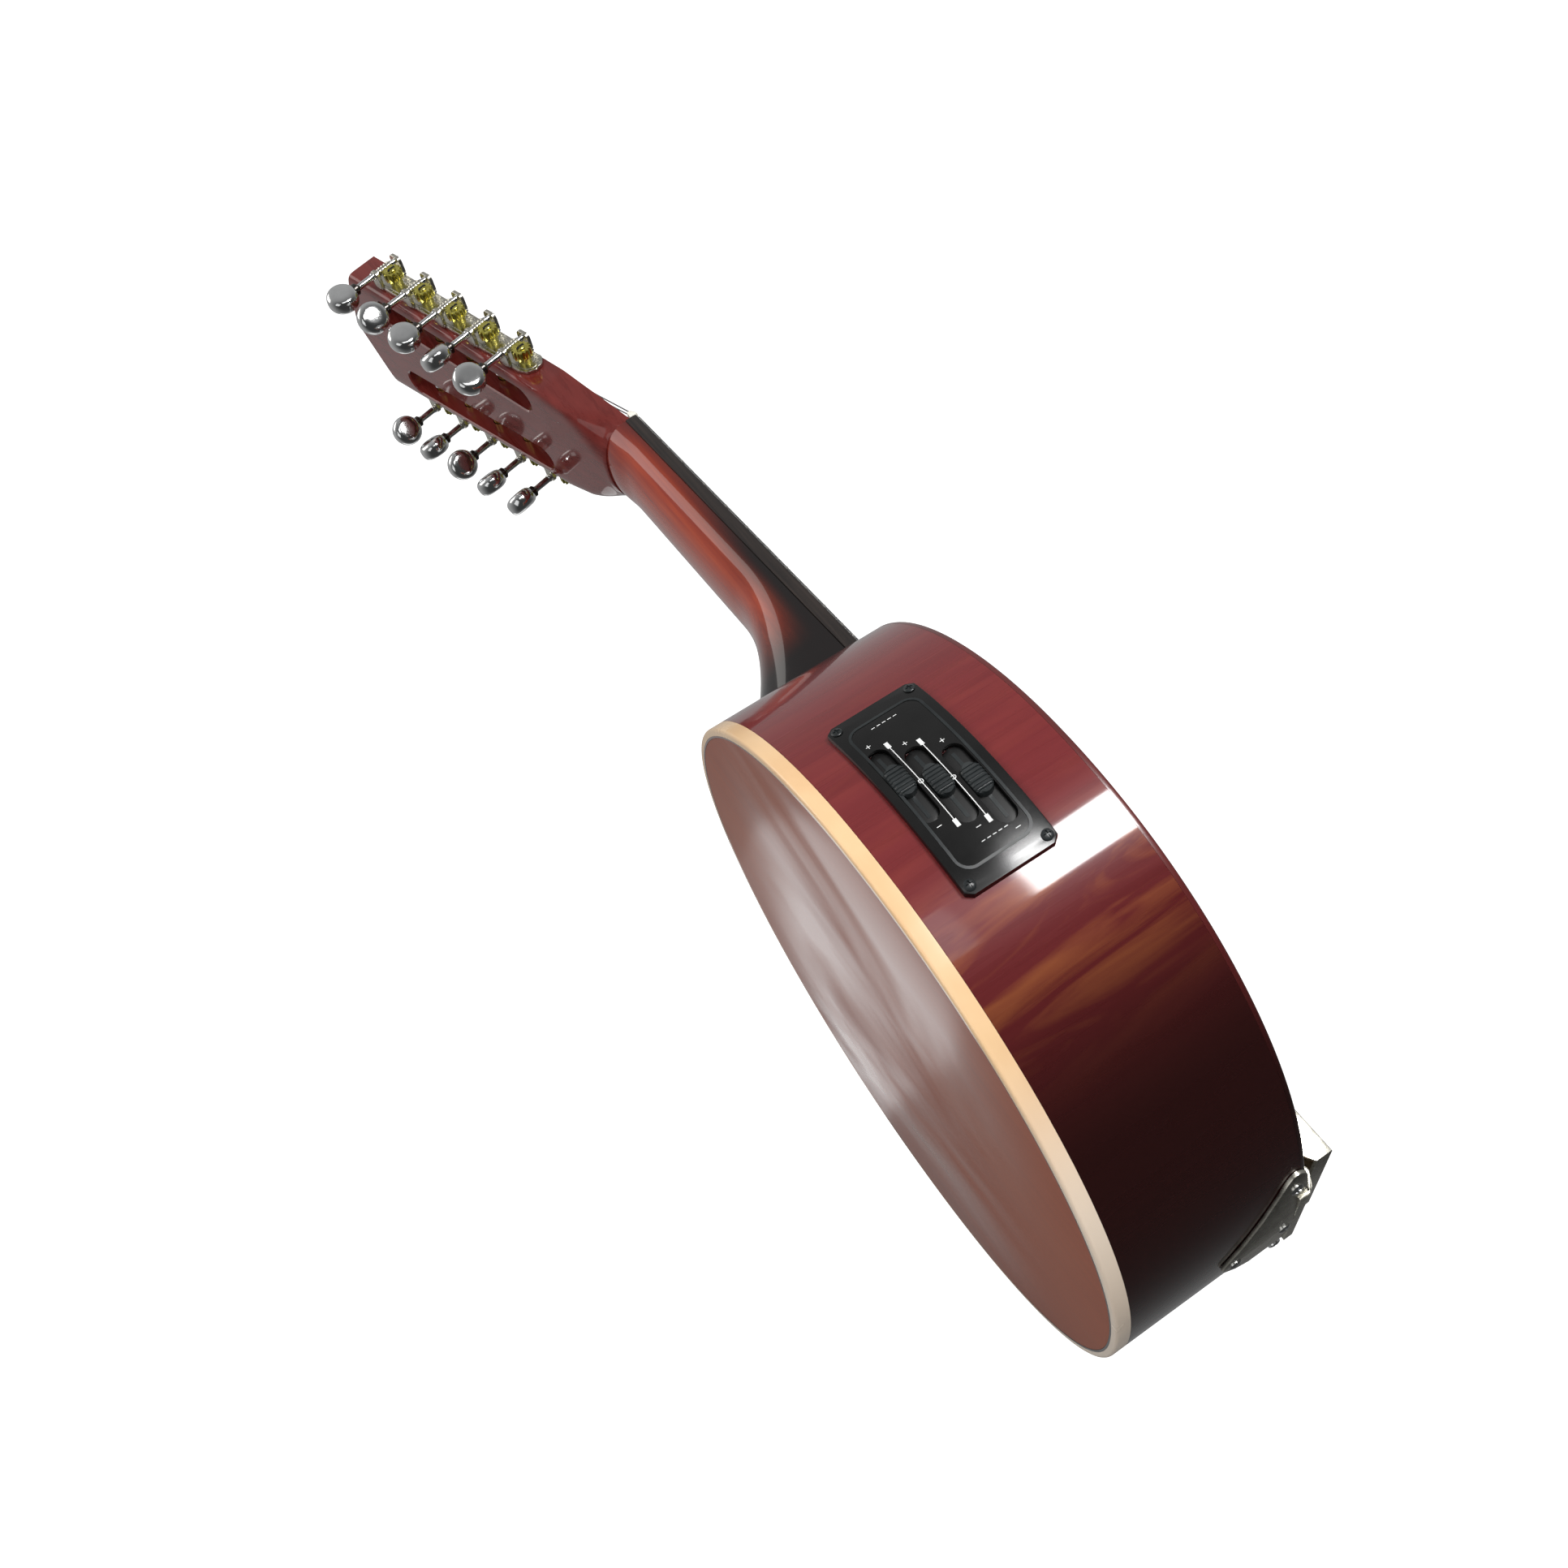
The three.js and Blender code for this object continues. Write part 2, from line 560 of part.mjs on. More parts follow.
function buildTuners() {
  for (const [label, row] of Object.entries(tunerRows)) {
    buildTunerPlate(row, label);
    for (let i = 0; i < TUNER_COUNT; i += 1) {
      const knob = knobGeometry(KNOB_TURNS[label][i]);
      knob.translate(WORM.out, 0, wormAt(i));
      addToRow(row, `tuner_knob_${label}_${i + 1}`, knob, MATERIALS.chrome);
      const roller = toGeometry(toSolid(rollerGeometry()));
      roller.translate(0, GEAR.depth, rollerAt(i));
      addToRow(row, `string_roller_${label}_${i + 1}`, roller, MATERIALS.brass);
    }
  }
}

// ---------------------------------------------------------------- strings

// Height (distance in front of the back) of the string plane at height z.
const NUT_STRING_Y = -(BODY_DEPTH + BOARD_TOP_AT_NUT + STRING_AT_NUT);
const JOINT_STRING_Y = -(BODY_DEPTH + BOARD_TOP_AT_BODY + STRING_AT_JOINT);
const STRING_SLOPE = (NUT_STRING_Y - JOINT_STRING_Y) / NECK_LENGTH;
const SADDLE_STRING_Y = JOINT_STRING_Y - STRING_SLOPE * (BODY_LENGTH - BRIDGE_Z);
const HOOK_STRING_Y = -(BODY_DEPTH + TAIL.lift + TAIL.sheet + 1.2);

// x of string number index (0 outermost .. 4 next to the middle) in a row of courses.
function stringX(index, spacing) {
  const fromOutside = [2, 2, 1, 1, 0];
  const within = [0.5, -0.5, 0.5, -0.5, 0.5];
  return fromOutside[index] * spacing + within[index] * COURSE_GAP;
}

function buildStrings() {
  for (const [label, row] of Object.entries(tunerRows)) {
    const { side } = row;
    for (let i = 0; i < TUNER_COUNT; i += 1) {
      const tuner = TUNER_COUNT - 1 - i;
      const rollerX = -(SLOT.wall + 1.7 + 2.4 * i);
      const clear = ROLLER.radius + GAP + STRING_RADIUS;
      const corners = [
        new THREE.Vector3(side * stringX(i, COURSE_SPACING_TAIL), HOOK_STRING_Y, HOOK.z + HOOK.length + GAP),
        new THREE.Vector3(side * stringX(i, COURSE_SPACING_BRIDGE), SADDLE_STRING_Y, BRIDGE_Z),
        new THREE.Vector3(side * stringX(i, COURSE_SPACING), NUT_STRING_Y, NUT_Z + NUT.crest),
        fromRow(row, rollerX, GEAR.depth - clear, rollerAt(tuner)),
      ];
      const rods = [];
      for (let k = 0; k < corners.length - 1; k += 1) {
        const along = new THREE.Vector3().subVectors(corners[k + 1], corners[k]).normalize();
        const overlap = k < corners.length - 2 ? 0.3 : 0;
        const end = corners[k + 1].clone().addScaledVector(along, overlap);
        rods.push(rod(corners[k], end, STRING_RADIUS, 4));
      }
      add(instrument, `string_${label}_${i + 1}`, join(...rods), MATERIALS.steel);
    }
  }
}

// ---------------------------------------------------------------- bridge

function buildBridge() {
  const foot = -(BODY_DEPTH + GAP);
  const top = foot - BRIDGE.height;
  const arch = foot - BRIDGE.archHeight;
  const shape = new THREE.Shape();
  shape.moveTo(-BRIDGE.half, foot);
  shape.lineTo(-BRIDGE.half + BRIDGE.foot, foot);
  shape.lineTo(-BRIDGE.half + BRIDGE.foot + 6, arch);
  shape.lineTo(BRIDGE.half - BRIDGE.foot - 6, arch);
  shape.lineTo(BRIDGE.half - BRIDGE.foot, foot);
  shape.lineTo(BRIDGE.half, foot);
  shape.lineTo(BRIDGE.half, foot - 3);
  shape.quadraticCurveTo(BRIDGE.topHalf + 6, foot - 4, BRIDGE.topHalf, top);
  shape.lineTo(-BRIDGE.topHalf, top);
  shape.quadraticCurveTo(-BRIDGE.topHalf - 6, foot - 4, -BRIDGE.half, foot - 3);
  const body = column(shape, BRIDGE_Z - BRIDGE.length / 2, BRIDGE.length);
  const seat = top + SADDLE.sink;
  const from = BRIDGE_Z - SADDLE.length / 2;
  const to = BRIDGE_Z + SADDLE.length / 2;
  const groove = block(-SADDLE.half - GAP, SADDLE.half + GAP, top - 1, seat, from - GAP, to + GAP);
  add(instrument, 'bridge', cut(body, groove), MATERIALS.bridgeWood);
  const saddleTop = SADDLE_STRING_Y + STRING_RADIUS + GAP;
  add(instrument, 'saddle', block(-SADDLE.half, SADDLE.half, saddleTop, seat - GAP, from, to),
    MATERIALS.bone);
}

// ---------------------------------------------------------------- tailpiece

// Sheet that follows the body's outline between two x values either side of an outline angle,
// from gap in front of the rim to gap + thickness.
function curvedSheet(middle, reach, steps, gap, thickness, back, height) {
  const outer = [];
  const inner = [];
  for (let i = 0; i <= steps; i += 1) {
    const angle = middle + reach - 2 * reach * i / steps;
    outer.push(outlinePoint(angle, -gap - thickness));
    inner.unshift(outlinePoint(angle, -gap));
  }
  return slab(new THREE.Shape([...outer, ...inner]), back, height);
}

function buildTailpiece() {
  const top = -BODY_DEPTH;
  const hookFront = top - TAIL.lift - TAIL.sheet;
  const reach = Math.asin(TAIL.wingHalf / (BODY_WIDTH / 2));
  const wrapped = curvedSheet(Math.PI, reach, 8, GAP, TAIL.sheet, 0, -top);

  const mask = new THREE.Shape();
  mask.moveTo(-TAIL.wingHalf + 5, top + 0.5);
  mask.quadraticCurveTo(-TAIL.wingHalf - 2, top + 4, -TAIL.wingHalf + 6, -TAIL.shoulder);
  mask.lineTo(-TAIL.tipHalf, -TAIL.tip - 3);
  mask.quadraticCurveTo(0, -TAIL.tip, TAIL.tipHalf, -TAIL.tip - 3);
  mask.lineTo(TAIL.wingHalf - 6, -TAIL.shoulder);
  mask.quadraticCurveTo(TAIL.wingHalf + 2, top + 4, TAIL.wingHalf - 5, top + 0.5);
  const plate = common(wrapped, column(mask, -10, 40));

  const outside = -GAP - TAIL.sheet;
  const bend = new THREE.Shape();
  bend.moveTo(top + 4, -GAP);
  bend.lineTo(top + 4, outside);
  bend.lineTo(top + 0.5, outside);
  bend.lineTo(top - 1.8, outside + 1.6);
  bend.lineTo(hookFront, outside + 6);
  bend.lineTo(hookFront, TAIL.end);
  bend.lineTo(hookFront + TAIL.sheet, TAIL.end);
  bend.lineTo(hookFront + TAIL.sheet, outside + 6.6);
  bend.lineTo(top - 0.8, outside + 2.6);
  bend.lineTo(top - 0.4, -GAP);
  const pieces = [plate, prism(bend, -TAIL.half, TAIL.half)];
  for (const side of [-1, 1]) {
    for (let i = 0; i < TUNER_COUNT; i += 1) {
      const x = side * stringX(i, COURSE_SPACING_TAIL);
      pieces.push(block(x - HOOK.width / 2, x + HOOK.width / 2, hookFront - HOOK.height, hookFront + 0.2,
        HOOK.z, HOOK.z + HOOK.length));
    }
  }
  add(instrument, 'tailpiece_base', join(...pieces), MATERIALS.nickel);
}

function buildCover() {
  const { half, top, lip, skirt, sheet, start, end, slope } = COVER;
  const front = -(BODY_DEPTH + top);
  const profile = new THREE.Shape();
  profile.moveTo(front, start);
  profile.lineTo(front + lip, start);
  profile.lineTo(front + skirt, start + slope);
  profile.lineTo(front + skirt, end);
  profile.lineTo(front, end);
  const inner = block(-half + sheet, half - sheet, front + sheet, 0, start + sheet, end + 1);
  add(instrument, 'tailpiece_cover', cut(prism(profile, -half, half), inner), MATERIALS.nickel);
}

// ---------------------------------------------------------------- preamp

// Slot number 0 lies nearest the back; each next one is set further towards the tail.
function sliderPlace(index) {
  const y = -PANEL.depth + SLIDER_SLOT.towardsBack + SLIDER_SLOT.pitch * (1 - index);
  const top = PANEL.z + PANEL.length / 2 - SLIDER_SLOT.start - SLIDER_SLOT.stagger * index;
  return { y, top, middle: top - SLIDER_SLOT.length / 2 };
}

function buildPreamp() {
  const side = BODY_WIDTH / 2;
  const slots = [];
  const grooves = [];
  for (let i = 0; i < 3; i += 1) {
    const { y, top, middle } = sliderPlace(i);
    const slot = stadium(y, top - SLIDER_SLOT.length, top, SLIDER_SLOT.width);
    slots.push(prism(slot, -side - 10, -side + 10));
    grooves.push(block(-HOUSING.face - 1, -HOUSING.face + HOUSING.grooveDepth, y - HOUSING.groove / 2,
      y + HOUSING.groove / 2, middle - HOUSING_GROOVE_LENGTH / 2, middle + HOUSING_GROOVE_LENGTH / 2));
  }
  const reach = Math.asin(PANEL.length / BODY_LENGTH);
  const middle = 1.5 * Math.PI + Math.asin(2 * PANEL.z / BODY_LENGTH - 1);
  const back = -PANEL.depth + PANEL.width / 2;
  const sheet = curvedSheet(middle, reach, 8, GAP, PANEL.thickness, back, PANEL.width);
  add(instrument, 'preamp_faceplate', cut(sheet, ...slots), MATERIALS.blackPlastic);
  const box = block(-HOUSING.face, -HOUSING.face + HOUSING.depth, -PANEL.depth - HOUSING.width / 2,
    -PANEL.depth + HOUSING.width / 2, HOUSING.z - HOUSING.length / 2, HOUSING.z + HOUSING.length / 2);
  add(instrument, 'preamp_housing', cut(box, ...grooves), MATERIALS.housingPlastic);

  for (let i = 0; i < 3; i += 1) {
    const { y, middle } = sliderPlace(i);
    const centre = middle + SLIDER.aboveCentre;
    const outer = -side - GAP - PANEL.thickness - SLIDER.rise;
    const capOutline = stadium(y, centre - SLIDER.length / 2, centre + SLIDER.length / 2, SLIDER.width);
    const cap = prism(capOutline, outer, -side - GAP - 0.6);
    const stem = block(-side - 2, -HOUSING.face + SLIDER.stemLength,
      y - SLIDER.stem / 2, y + SLIDER.stem / 2,
      centre - 2, centre + 2);
    add(instrument, `slider_${i + 1}`, join(cap, stem), MATERIALS.sliderPlastic);
  }
}

function buildElectrics() {
  const side = BODY_WIDTH / 2;
  const { bore, barrel, flange, flangeHeight, length } = JACK;
  const outside = side + GAP + flangeHeight;
  const profile = [
    [0, outside - length], [barrel, outside - length], [barrel, side + GAP], [flange, side + GAP],
    [flange, outside - 0.5], [flange - 0.8, outside], [bore, outside], [bore, outside - length + 2],
    [0, outside - length + 2],
  ].map(([r, y]) => new THREE.Vector2(r, y));
  const jack = new THREE.LatheGeometry(profile, 20).rotateZ(-Math.PI / 2).translate(0, -JACK.depth, JACK.z);
  add(instrument, 'output_jack', toGeometry(toSolid(jack)), MATERIALS.nickel);

  const { x, z, width, length: batteryLength, depth } = BATTERY;
  add(instrument, 'battery', block(x, x + width, INNER_BACK - depth, INNER_BACK, z, z + batteryLength),
    MATERIALS.battery);

  const disc = new THREE.CylinderGeometry(PICKUP.radius, PICKUP.radius, PICKUP.thickness, 24);
  disc.translate(0, RIM_FRONT + PICKUP.thickness / 2, BRIDGE_Z);
  add(instrument, 'piezo_pickup', disc, MATERIALS.brass);
}

buildPlates();
buildRim();
buildLinings();
buildBlocks();
buildBraces();
buildNeck();
buildHeadstock();
buildNut();
buildTuners();
buildStrings();
buildBridge();
buildTailpiece();
buildCover();
buildPreamp();
buildElectrics();

const charango = new THREE.Group();
charango.add(instrument);

export default charango;
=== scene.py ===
import math

import bmesh
import bpy
from mathutils import Matrix, Quaternion, Vector

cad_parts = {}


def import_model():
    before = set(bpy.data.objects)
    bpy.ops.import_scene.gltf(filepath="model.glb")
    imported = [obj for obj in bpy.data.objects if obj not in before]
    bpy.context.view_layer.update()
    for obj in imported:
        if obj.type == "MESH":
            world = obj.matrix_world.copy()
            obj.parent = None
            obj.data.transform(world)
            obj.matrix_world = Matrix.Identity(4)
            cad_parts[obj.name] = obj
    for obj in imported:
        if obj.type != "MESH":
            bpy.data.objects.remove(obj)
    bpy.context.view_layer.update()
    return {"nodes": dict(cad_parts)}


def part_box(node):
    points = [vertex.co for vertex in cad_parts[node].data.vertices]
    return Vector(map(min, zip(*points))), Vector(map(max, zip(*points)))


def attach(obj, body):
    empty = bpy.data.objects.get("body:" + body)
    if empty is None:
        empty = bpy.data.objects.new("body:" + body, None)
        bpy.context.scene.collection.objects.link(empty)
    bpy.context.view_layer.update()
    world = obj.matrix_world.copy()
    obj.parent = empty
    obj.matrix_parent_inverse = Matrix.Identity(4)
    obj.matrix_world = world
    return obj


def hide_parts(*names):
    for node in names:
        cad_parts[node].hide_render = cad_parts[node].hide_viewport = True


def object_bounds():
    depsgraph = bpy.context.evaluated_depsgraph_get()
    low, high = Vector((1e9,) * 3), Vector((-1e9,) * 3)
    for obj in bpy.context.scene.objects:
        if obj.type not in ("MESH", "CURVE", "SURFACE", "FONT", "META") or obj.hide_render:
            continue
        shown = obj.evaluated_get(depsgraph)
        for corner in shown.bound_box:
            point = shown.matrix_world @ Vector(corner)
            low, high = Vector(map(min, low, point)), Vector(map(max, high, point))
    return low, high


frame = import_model()
nodes = frame["nodes"]

# ---------------------------------------------------------------- dimensions, in millimetres
# The instrument's own coordinates: x across, y = 0 on the back and negative towards the
# soundboard, z = 0 at the tail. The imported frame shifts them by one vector.

ORIGIN = Vector((0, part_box("back_binding")[1].y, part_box("back_binding")[0].z))

BODY_LENGTH, BODY_WIDTH, BODY_DEPTH = 245, 260, 72
HEAD_ROUNDNESS, TAIL_ROUNDNESS = 2.0, 2.1
OUTLINE_STEPS = 288
BINDING_WIDTH, BINDING_HEIGHT, PURFLING = 2.5, 5.5, 0.8
HOLE_Z, HOLE_RADIUS = 147, 28

NUT_Z, NECK_LENGTH = 434, 189
SCALE_LENGTH, FRETS = 2 * NECK_LENGTH, 17
BOARD_TOP_AT_BODY, BOARD_TOP_AT_NUT, BOARD_THICKNESS = 9, 3.6, 6
BOARD_OVERHANG, BOARD_HALF_AT_END, BOARD_HALF_AT_NUT = 63, 29.3, 24
NECK_TILT = math.atan((BOARD_TOP_AT_BODY - BOARD_TOP_AT_NUT) / NECK_LENGTH)
HEEL_LENGTH, HEEL_DROP, HEEL_POWER = 80, 47, 1.9

HEAD_TILT, HEAD_TAPER = math.radians(15.2), math.radians(1.9)
HEAD_HALF, HEAD_THICKNESS = 29.8, 18
HEAD_SHOULDER, HEAD_SQUARE, HEAD_CORNER, HEAD_TIP = 43, 27, 188, 203
SLOT_WALL, SLOT_WIDTH, SLOT_START, SLOT_END = 5.5, 14, 52, 170

TUNERS, PITCH, FIRST_WORM = 5, 24.3, 67.6
WORM_OUT, GEAR_OFFSET, GEAR_DEPTH, GEAR_RADIUS = 8.2, 7.2, 8, 4.8
ROLLER_RADIUS, ROLLER_SEAT = 3.2, 5
KNOB_CENTRE, KNOB_RADIUS, KNOB_HALF = 34.8, 7.8, 4.5
KNOB_TURNS = {"bass": (115, 55, 105, 135, 100), "treble": (137, 125, 40, 118, 45)}

STRING_RADIUS, COURSE_GAP = 0.35, 2.2
SPACING = {"nut": 9.4, "bridge": 11.2, "tail": 8.8}
SADDLE_Z, HOOK_Z = 56, 12.4

PANEL_Z, PANEL_DEPTH, PANEL_WIDTH, PANEL_LENGTH, PANEL_TOP = 127.3, 34.4, 31.4, 72, 2.1
SLIDERS, TRACK_HALF, TRACK_LENGTH, TRACK_START, TRACK_STAGGER = 3, 3.4, 31, 17.4, 6.2
SIDES = {"bass": -1, "treble": 1}
ROOT = "instrument"


def world(p):
    return Vector((p[0] / 1000, p[1] / 1000, p[2] / 1000)) + ORIGIN


def lerp(a, b, t):
    return a + (b - a) * t


def clamp(v):
    return min(max(v, 0.0), 1.0)


def around(steps):
    """Angles spaced evenly round a full turn."""
    return [2 * math.pi * k / steps for k in range(steps)]


# ---------------------------------------------------------------- places on the instrument

def outline(angle, inset=0.0):
    """Point (x, z) on the body's outline; the angle runs from the neck to the treble side."""
    side, along = math.sin(angle), math.cos(angle)
    power = 2 / (HEAD_ROUNDNESS if along >= 0 else TAIL_ROUNDNESS)
    x = (BODY_WIDTH / 2 - inset) * math.copysign(abs(side) ** power, side)
    z = (BODY_LENGTH / 2 - inset) * math.copysign(abs(along) ** power, along)
    return x, BODY_LENGTH / 2 + z


def on_outline(angle, inset, y):
    x, z = outline(angle, inset)
    return x, y, z


def half_width(z, inset=0.0):
    """Half the body's width at height z."""
    t = abs(z - BODY_LENGTH / 2) / (BODY_LENGTH / 2 - inset)
    power = HEAD_ROUNDNESS if z >= BODY_LENGTH / 2 else TAIL_ROUNDNESS
    return (BODY_WIDTH / 2 - inset) * max(1 - t**power, 0) ** (1 / power)


def end_z(x, towards_neck, inset=0.0):
    """z of the body's outline at x, at its neck end or at its tail."""
    power = HEAD_ROUNDNESS if towards_neck else TAIL_ROUNDNESS
    reach = max(1 - abs(x / (BODY_WIDTH / 2 - inset)) ** power, 0) ** (1 / power)
    return BODY_LENGTH / 2 + (1 if towards_neck else -1) * (BODY_LENGTH / 2 - inset) * reach


def tilted(x, y, z, tilt, front, base):
    c, s = math.cos(tilt), math.sin(tilt)
    return x, y * c + z * s + front, -y * s + z * c + base


def neck_point(x, y, z):
    return tilted(x, y, z, NECK_TILT, -(BODY_DEPTH + BOARD_TOP_AT_BODY), BODY_LENGTH)


def board_half(z):
    """Half the fingerboard's width at z from the body joint."""
    return lerp(BOARD_HALF_AT_END, BOARD_HALF_AT_NUT,
                (z + BOARD_OVERHANG) / (NECK_LENGTH + BOARD_OVERHANG))


def head_point(x, d, s):
    return tilted(x, d, s, HEAD_TILT, -BODY_DEPTH, NUT_Z)


def row_point(side, x, d, s):
    """x outwards from the headstock's side, d from its face, s along it from the nut."""
    c, t = math.cos(HEAD_TAPER), math.sin(HEAD_TAPER)
    return head_point(side * (HEAD_HALF + x * c + s * t), d, -x * t + s * c)


def worm_at(i):
    return FIRST_WORM + i * PITCH


def roller_at(i):
    return worm_at(i) - GEAR_OFFSET


def string_lane(i):
    """Where the i-th string meets its roller, outwards from the headstock's side."""
    return -(SLOT_WALL + 1.7 + 2.4 * i)


# ---------------------------------------------------------------- making pieces

def add_object(name, data):
    obj = bpy.data.objects.new(name, data)
    bpy.context.scene.collection.objects.link(obj)
    return obj


def mesh_from(name, shells, weld=True):
    """One mesh from closed shells, each (points in mm, faces)."""
    bm = bmesh.new()
    for points, faces in shells:
        made = [bm.verts.new(world(p)) for p in points]
        for f in faces:
            bm.faces.new([made[i] for i in f])
    if weld:
        bmesh.ops.remove_doubles(bm, verts=bm.verts, dist=1e-7)
        bmesh.ops.dissolve_degenerate(bm, edges=bm.edges, dist=1e-8)
    bmesh.ops.recalc_face_normals(bm, faces=bm.faces)
    mesh = bpy.data.meshes.new(name)
    bm.to_mesh(mesh)
    bm.free()
    return mesh


def smooth(mesh, sharp):
    """Smooth shading, with hard edges past an angle in degrees."""
    for face in mesh.polygons:
        face.use_smooth = True
    mesh.set_sharp_from_angle(angle=math.radians(sharp))


def soften(obj, width, angle):
    """Rounds the edges past an angle in degrees; width is in mm."""
    edge = obj.modifiers.new("edge", "BEVEL")
    edge.width, edge.segments = width / 1000, 2
    edge.limit_method, edge.angle_limit = "ANGLE", math.radians(angle)


def piece(name, shells, slot, material, body=ROOT, replaces=(), sharp=35, bevel=0):
    """A piece of the visual model, which may stand in for CAD nodes."""
    obj = add_object(name, mesh_from(name, shells))
    obj.data.materials.append(material)
    smooth(obj.data, sharp)
    if bevel:
        soften(obj, bevel, 40)
    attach(obj, body)
    if replaces:
        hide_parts(*replaces)
    return obj


def loft(sections, closed=False):
    """Closed shell through loops of equal length; a closed one joins its last loop to its first."""
    count, width = len(sections), len(sections[0])
    points = [p for s in sections for p in s]
    faces = []
    for i in range(count if closed else count - 1):
        j = (i + 1) % count
        for k in range(width):
            m = (k + 1) % width
            faces.append((i * width + k, i * width + m, j * width + m, j * width + k))
    if not closed:
        faces.append(tuple(range(width))[::-1])
        faces.append(tuple((count - 1) * width + k for k in range(width)))
    return points, faces


def ring(profile):
    """A section of (inset, y) points swept round the body's outline."""
    return loft([[on_outline(angle, inset, y) for inset, y in profile]
                 for angle in around(OUTLINE_STEPS)], closed=True)


def plate(rows):
    """A plate of the body's outline; rows are (inset, y) from one face's middle to the other's."""
    return loft([[on_outline(angle, inset, y) for angle in around(OUTLINE_STEPS)]
                 for inset, y in rows])


def holed_plate(low, high, inset, hole_z, hole_radius):
    """A plate of the body's outline with a round hole."""
    sections = []
    for angle in around(OUTLINE_STEPS):
        x, z = hole_radius * math.sin(angle), hole_z + hole_radius * math.cos(angle)
        sections.append([(x, low, z), (x, high, z), on_outline(angle, inset, high),
                         on_outline(angle, inset, low)])
    return loft(sections, closed=True)


def spun(profile, place, steps):
    """A shell of revolution; profile is (radius, height) and place(u, v, height) gives a point."""
    sections = []
    for radius, h in profile:
        r = max(radius, 0.002)
        sections.append([place(r * math.cos(a), r * math.sin(a), h) for a in around(steps)])
    return loft(sections)


def prism(polygon, place, low, high):
    """A flat polygon of (a, b) raised from low to high; place(a, b, height) gives a point."""
    return loft([[place(a, b, h) for a, b in polygon] for h in (low, high)])


def rounded(a0, a1, b0, b1, radius, steps=6):
    """A rectangle with round corners as a polygon."""
    points = []
    for ca, cb, start in ((a1 - radius, b1 - radius, 0), (a0 + radius, b1 - radius, 1),
                          (a0 + radius, b0 + radius, 2), (a1 - radius, b0 + radius, 3)):
        for i in range(steps + 1):
            angle = math.pi / 2 * (start + i / steps)
            points.append((ca + radius * math.cos(angle), cb + radius * math.sin(angle)))
    return points


def tube(path, radius, sides=8):
    """A round rod along a path of points in mm."""
    sections = []
    across = None
    for i, p in enumerate(path):
        before = Vector(path[max(i - 1, 0)])
        after = Vector(path[min(i + 1, len(path) - 1)])
        along = (after - before).normalized()
        if across is None:
            across = along.orthogonal().normalized()
        across = (across - along * across.dot(along)).normalized()
        other = along.cross(across)
        sections.append([tuple(Vector(p) + (across * math.cos(a) + other * math.sin(a)) * radius)
                         for a in around(sides)])
    return loft(sections)


def carve(obj, shells):
    """Cuts the shells out of obj, which has no modifiers yet, and takes the cutters away again."""
    for shell in shells:
        cutter = add_object("cutter", mesh_from("cutter", [shell], weld=False))
        cut = obj.modifiers.new("cut", "BOOLEAN")
        cut.operation, cut.object, cut.solver = "DIFFERENCE", cutter, "EXACT"
        graph = bpy.context.evaluated_depsgraph_get()
        graph.update()
        carved = bpy.data.meshes.new_from_object(obj.evaluated_get(graph))
        obj.modifiers.remove(cut)
        obj.data = carved
        bpy.data.objects.remove(cutter)
    smooth(obj.data, 32)


# ---------------------------------------------------------------- materials

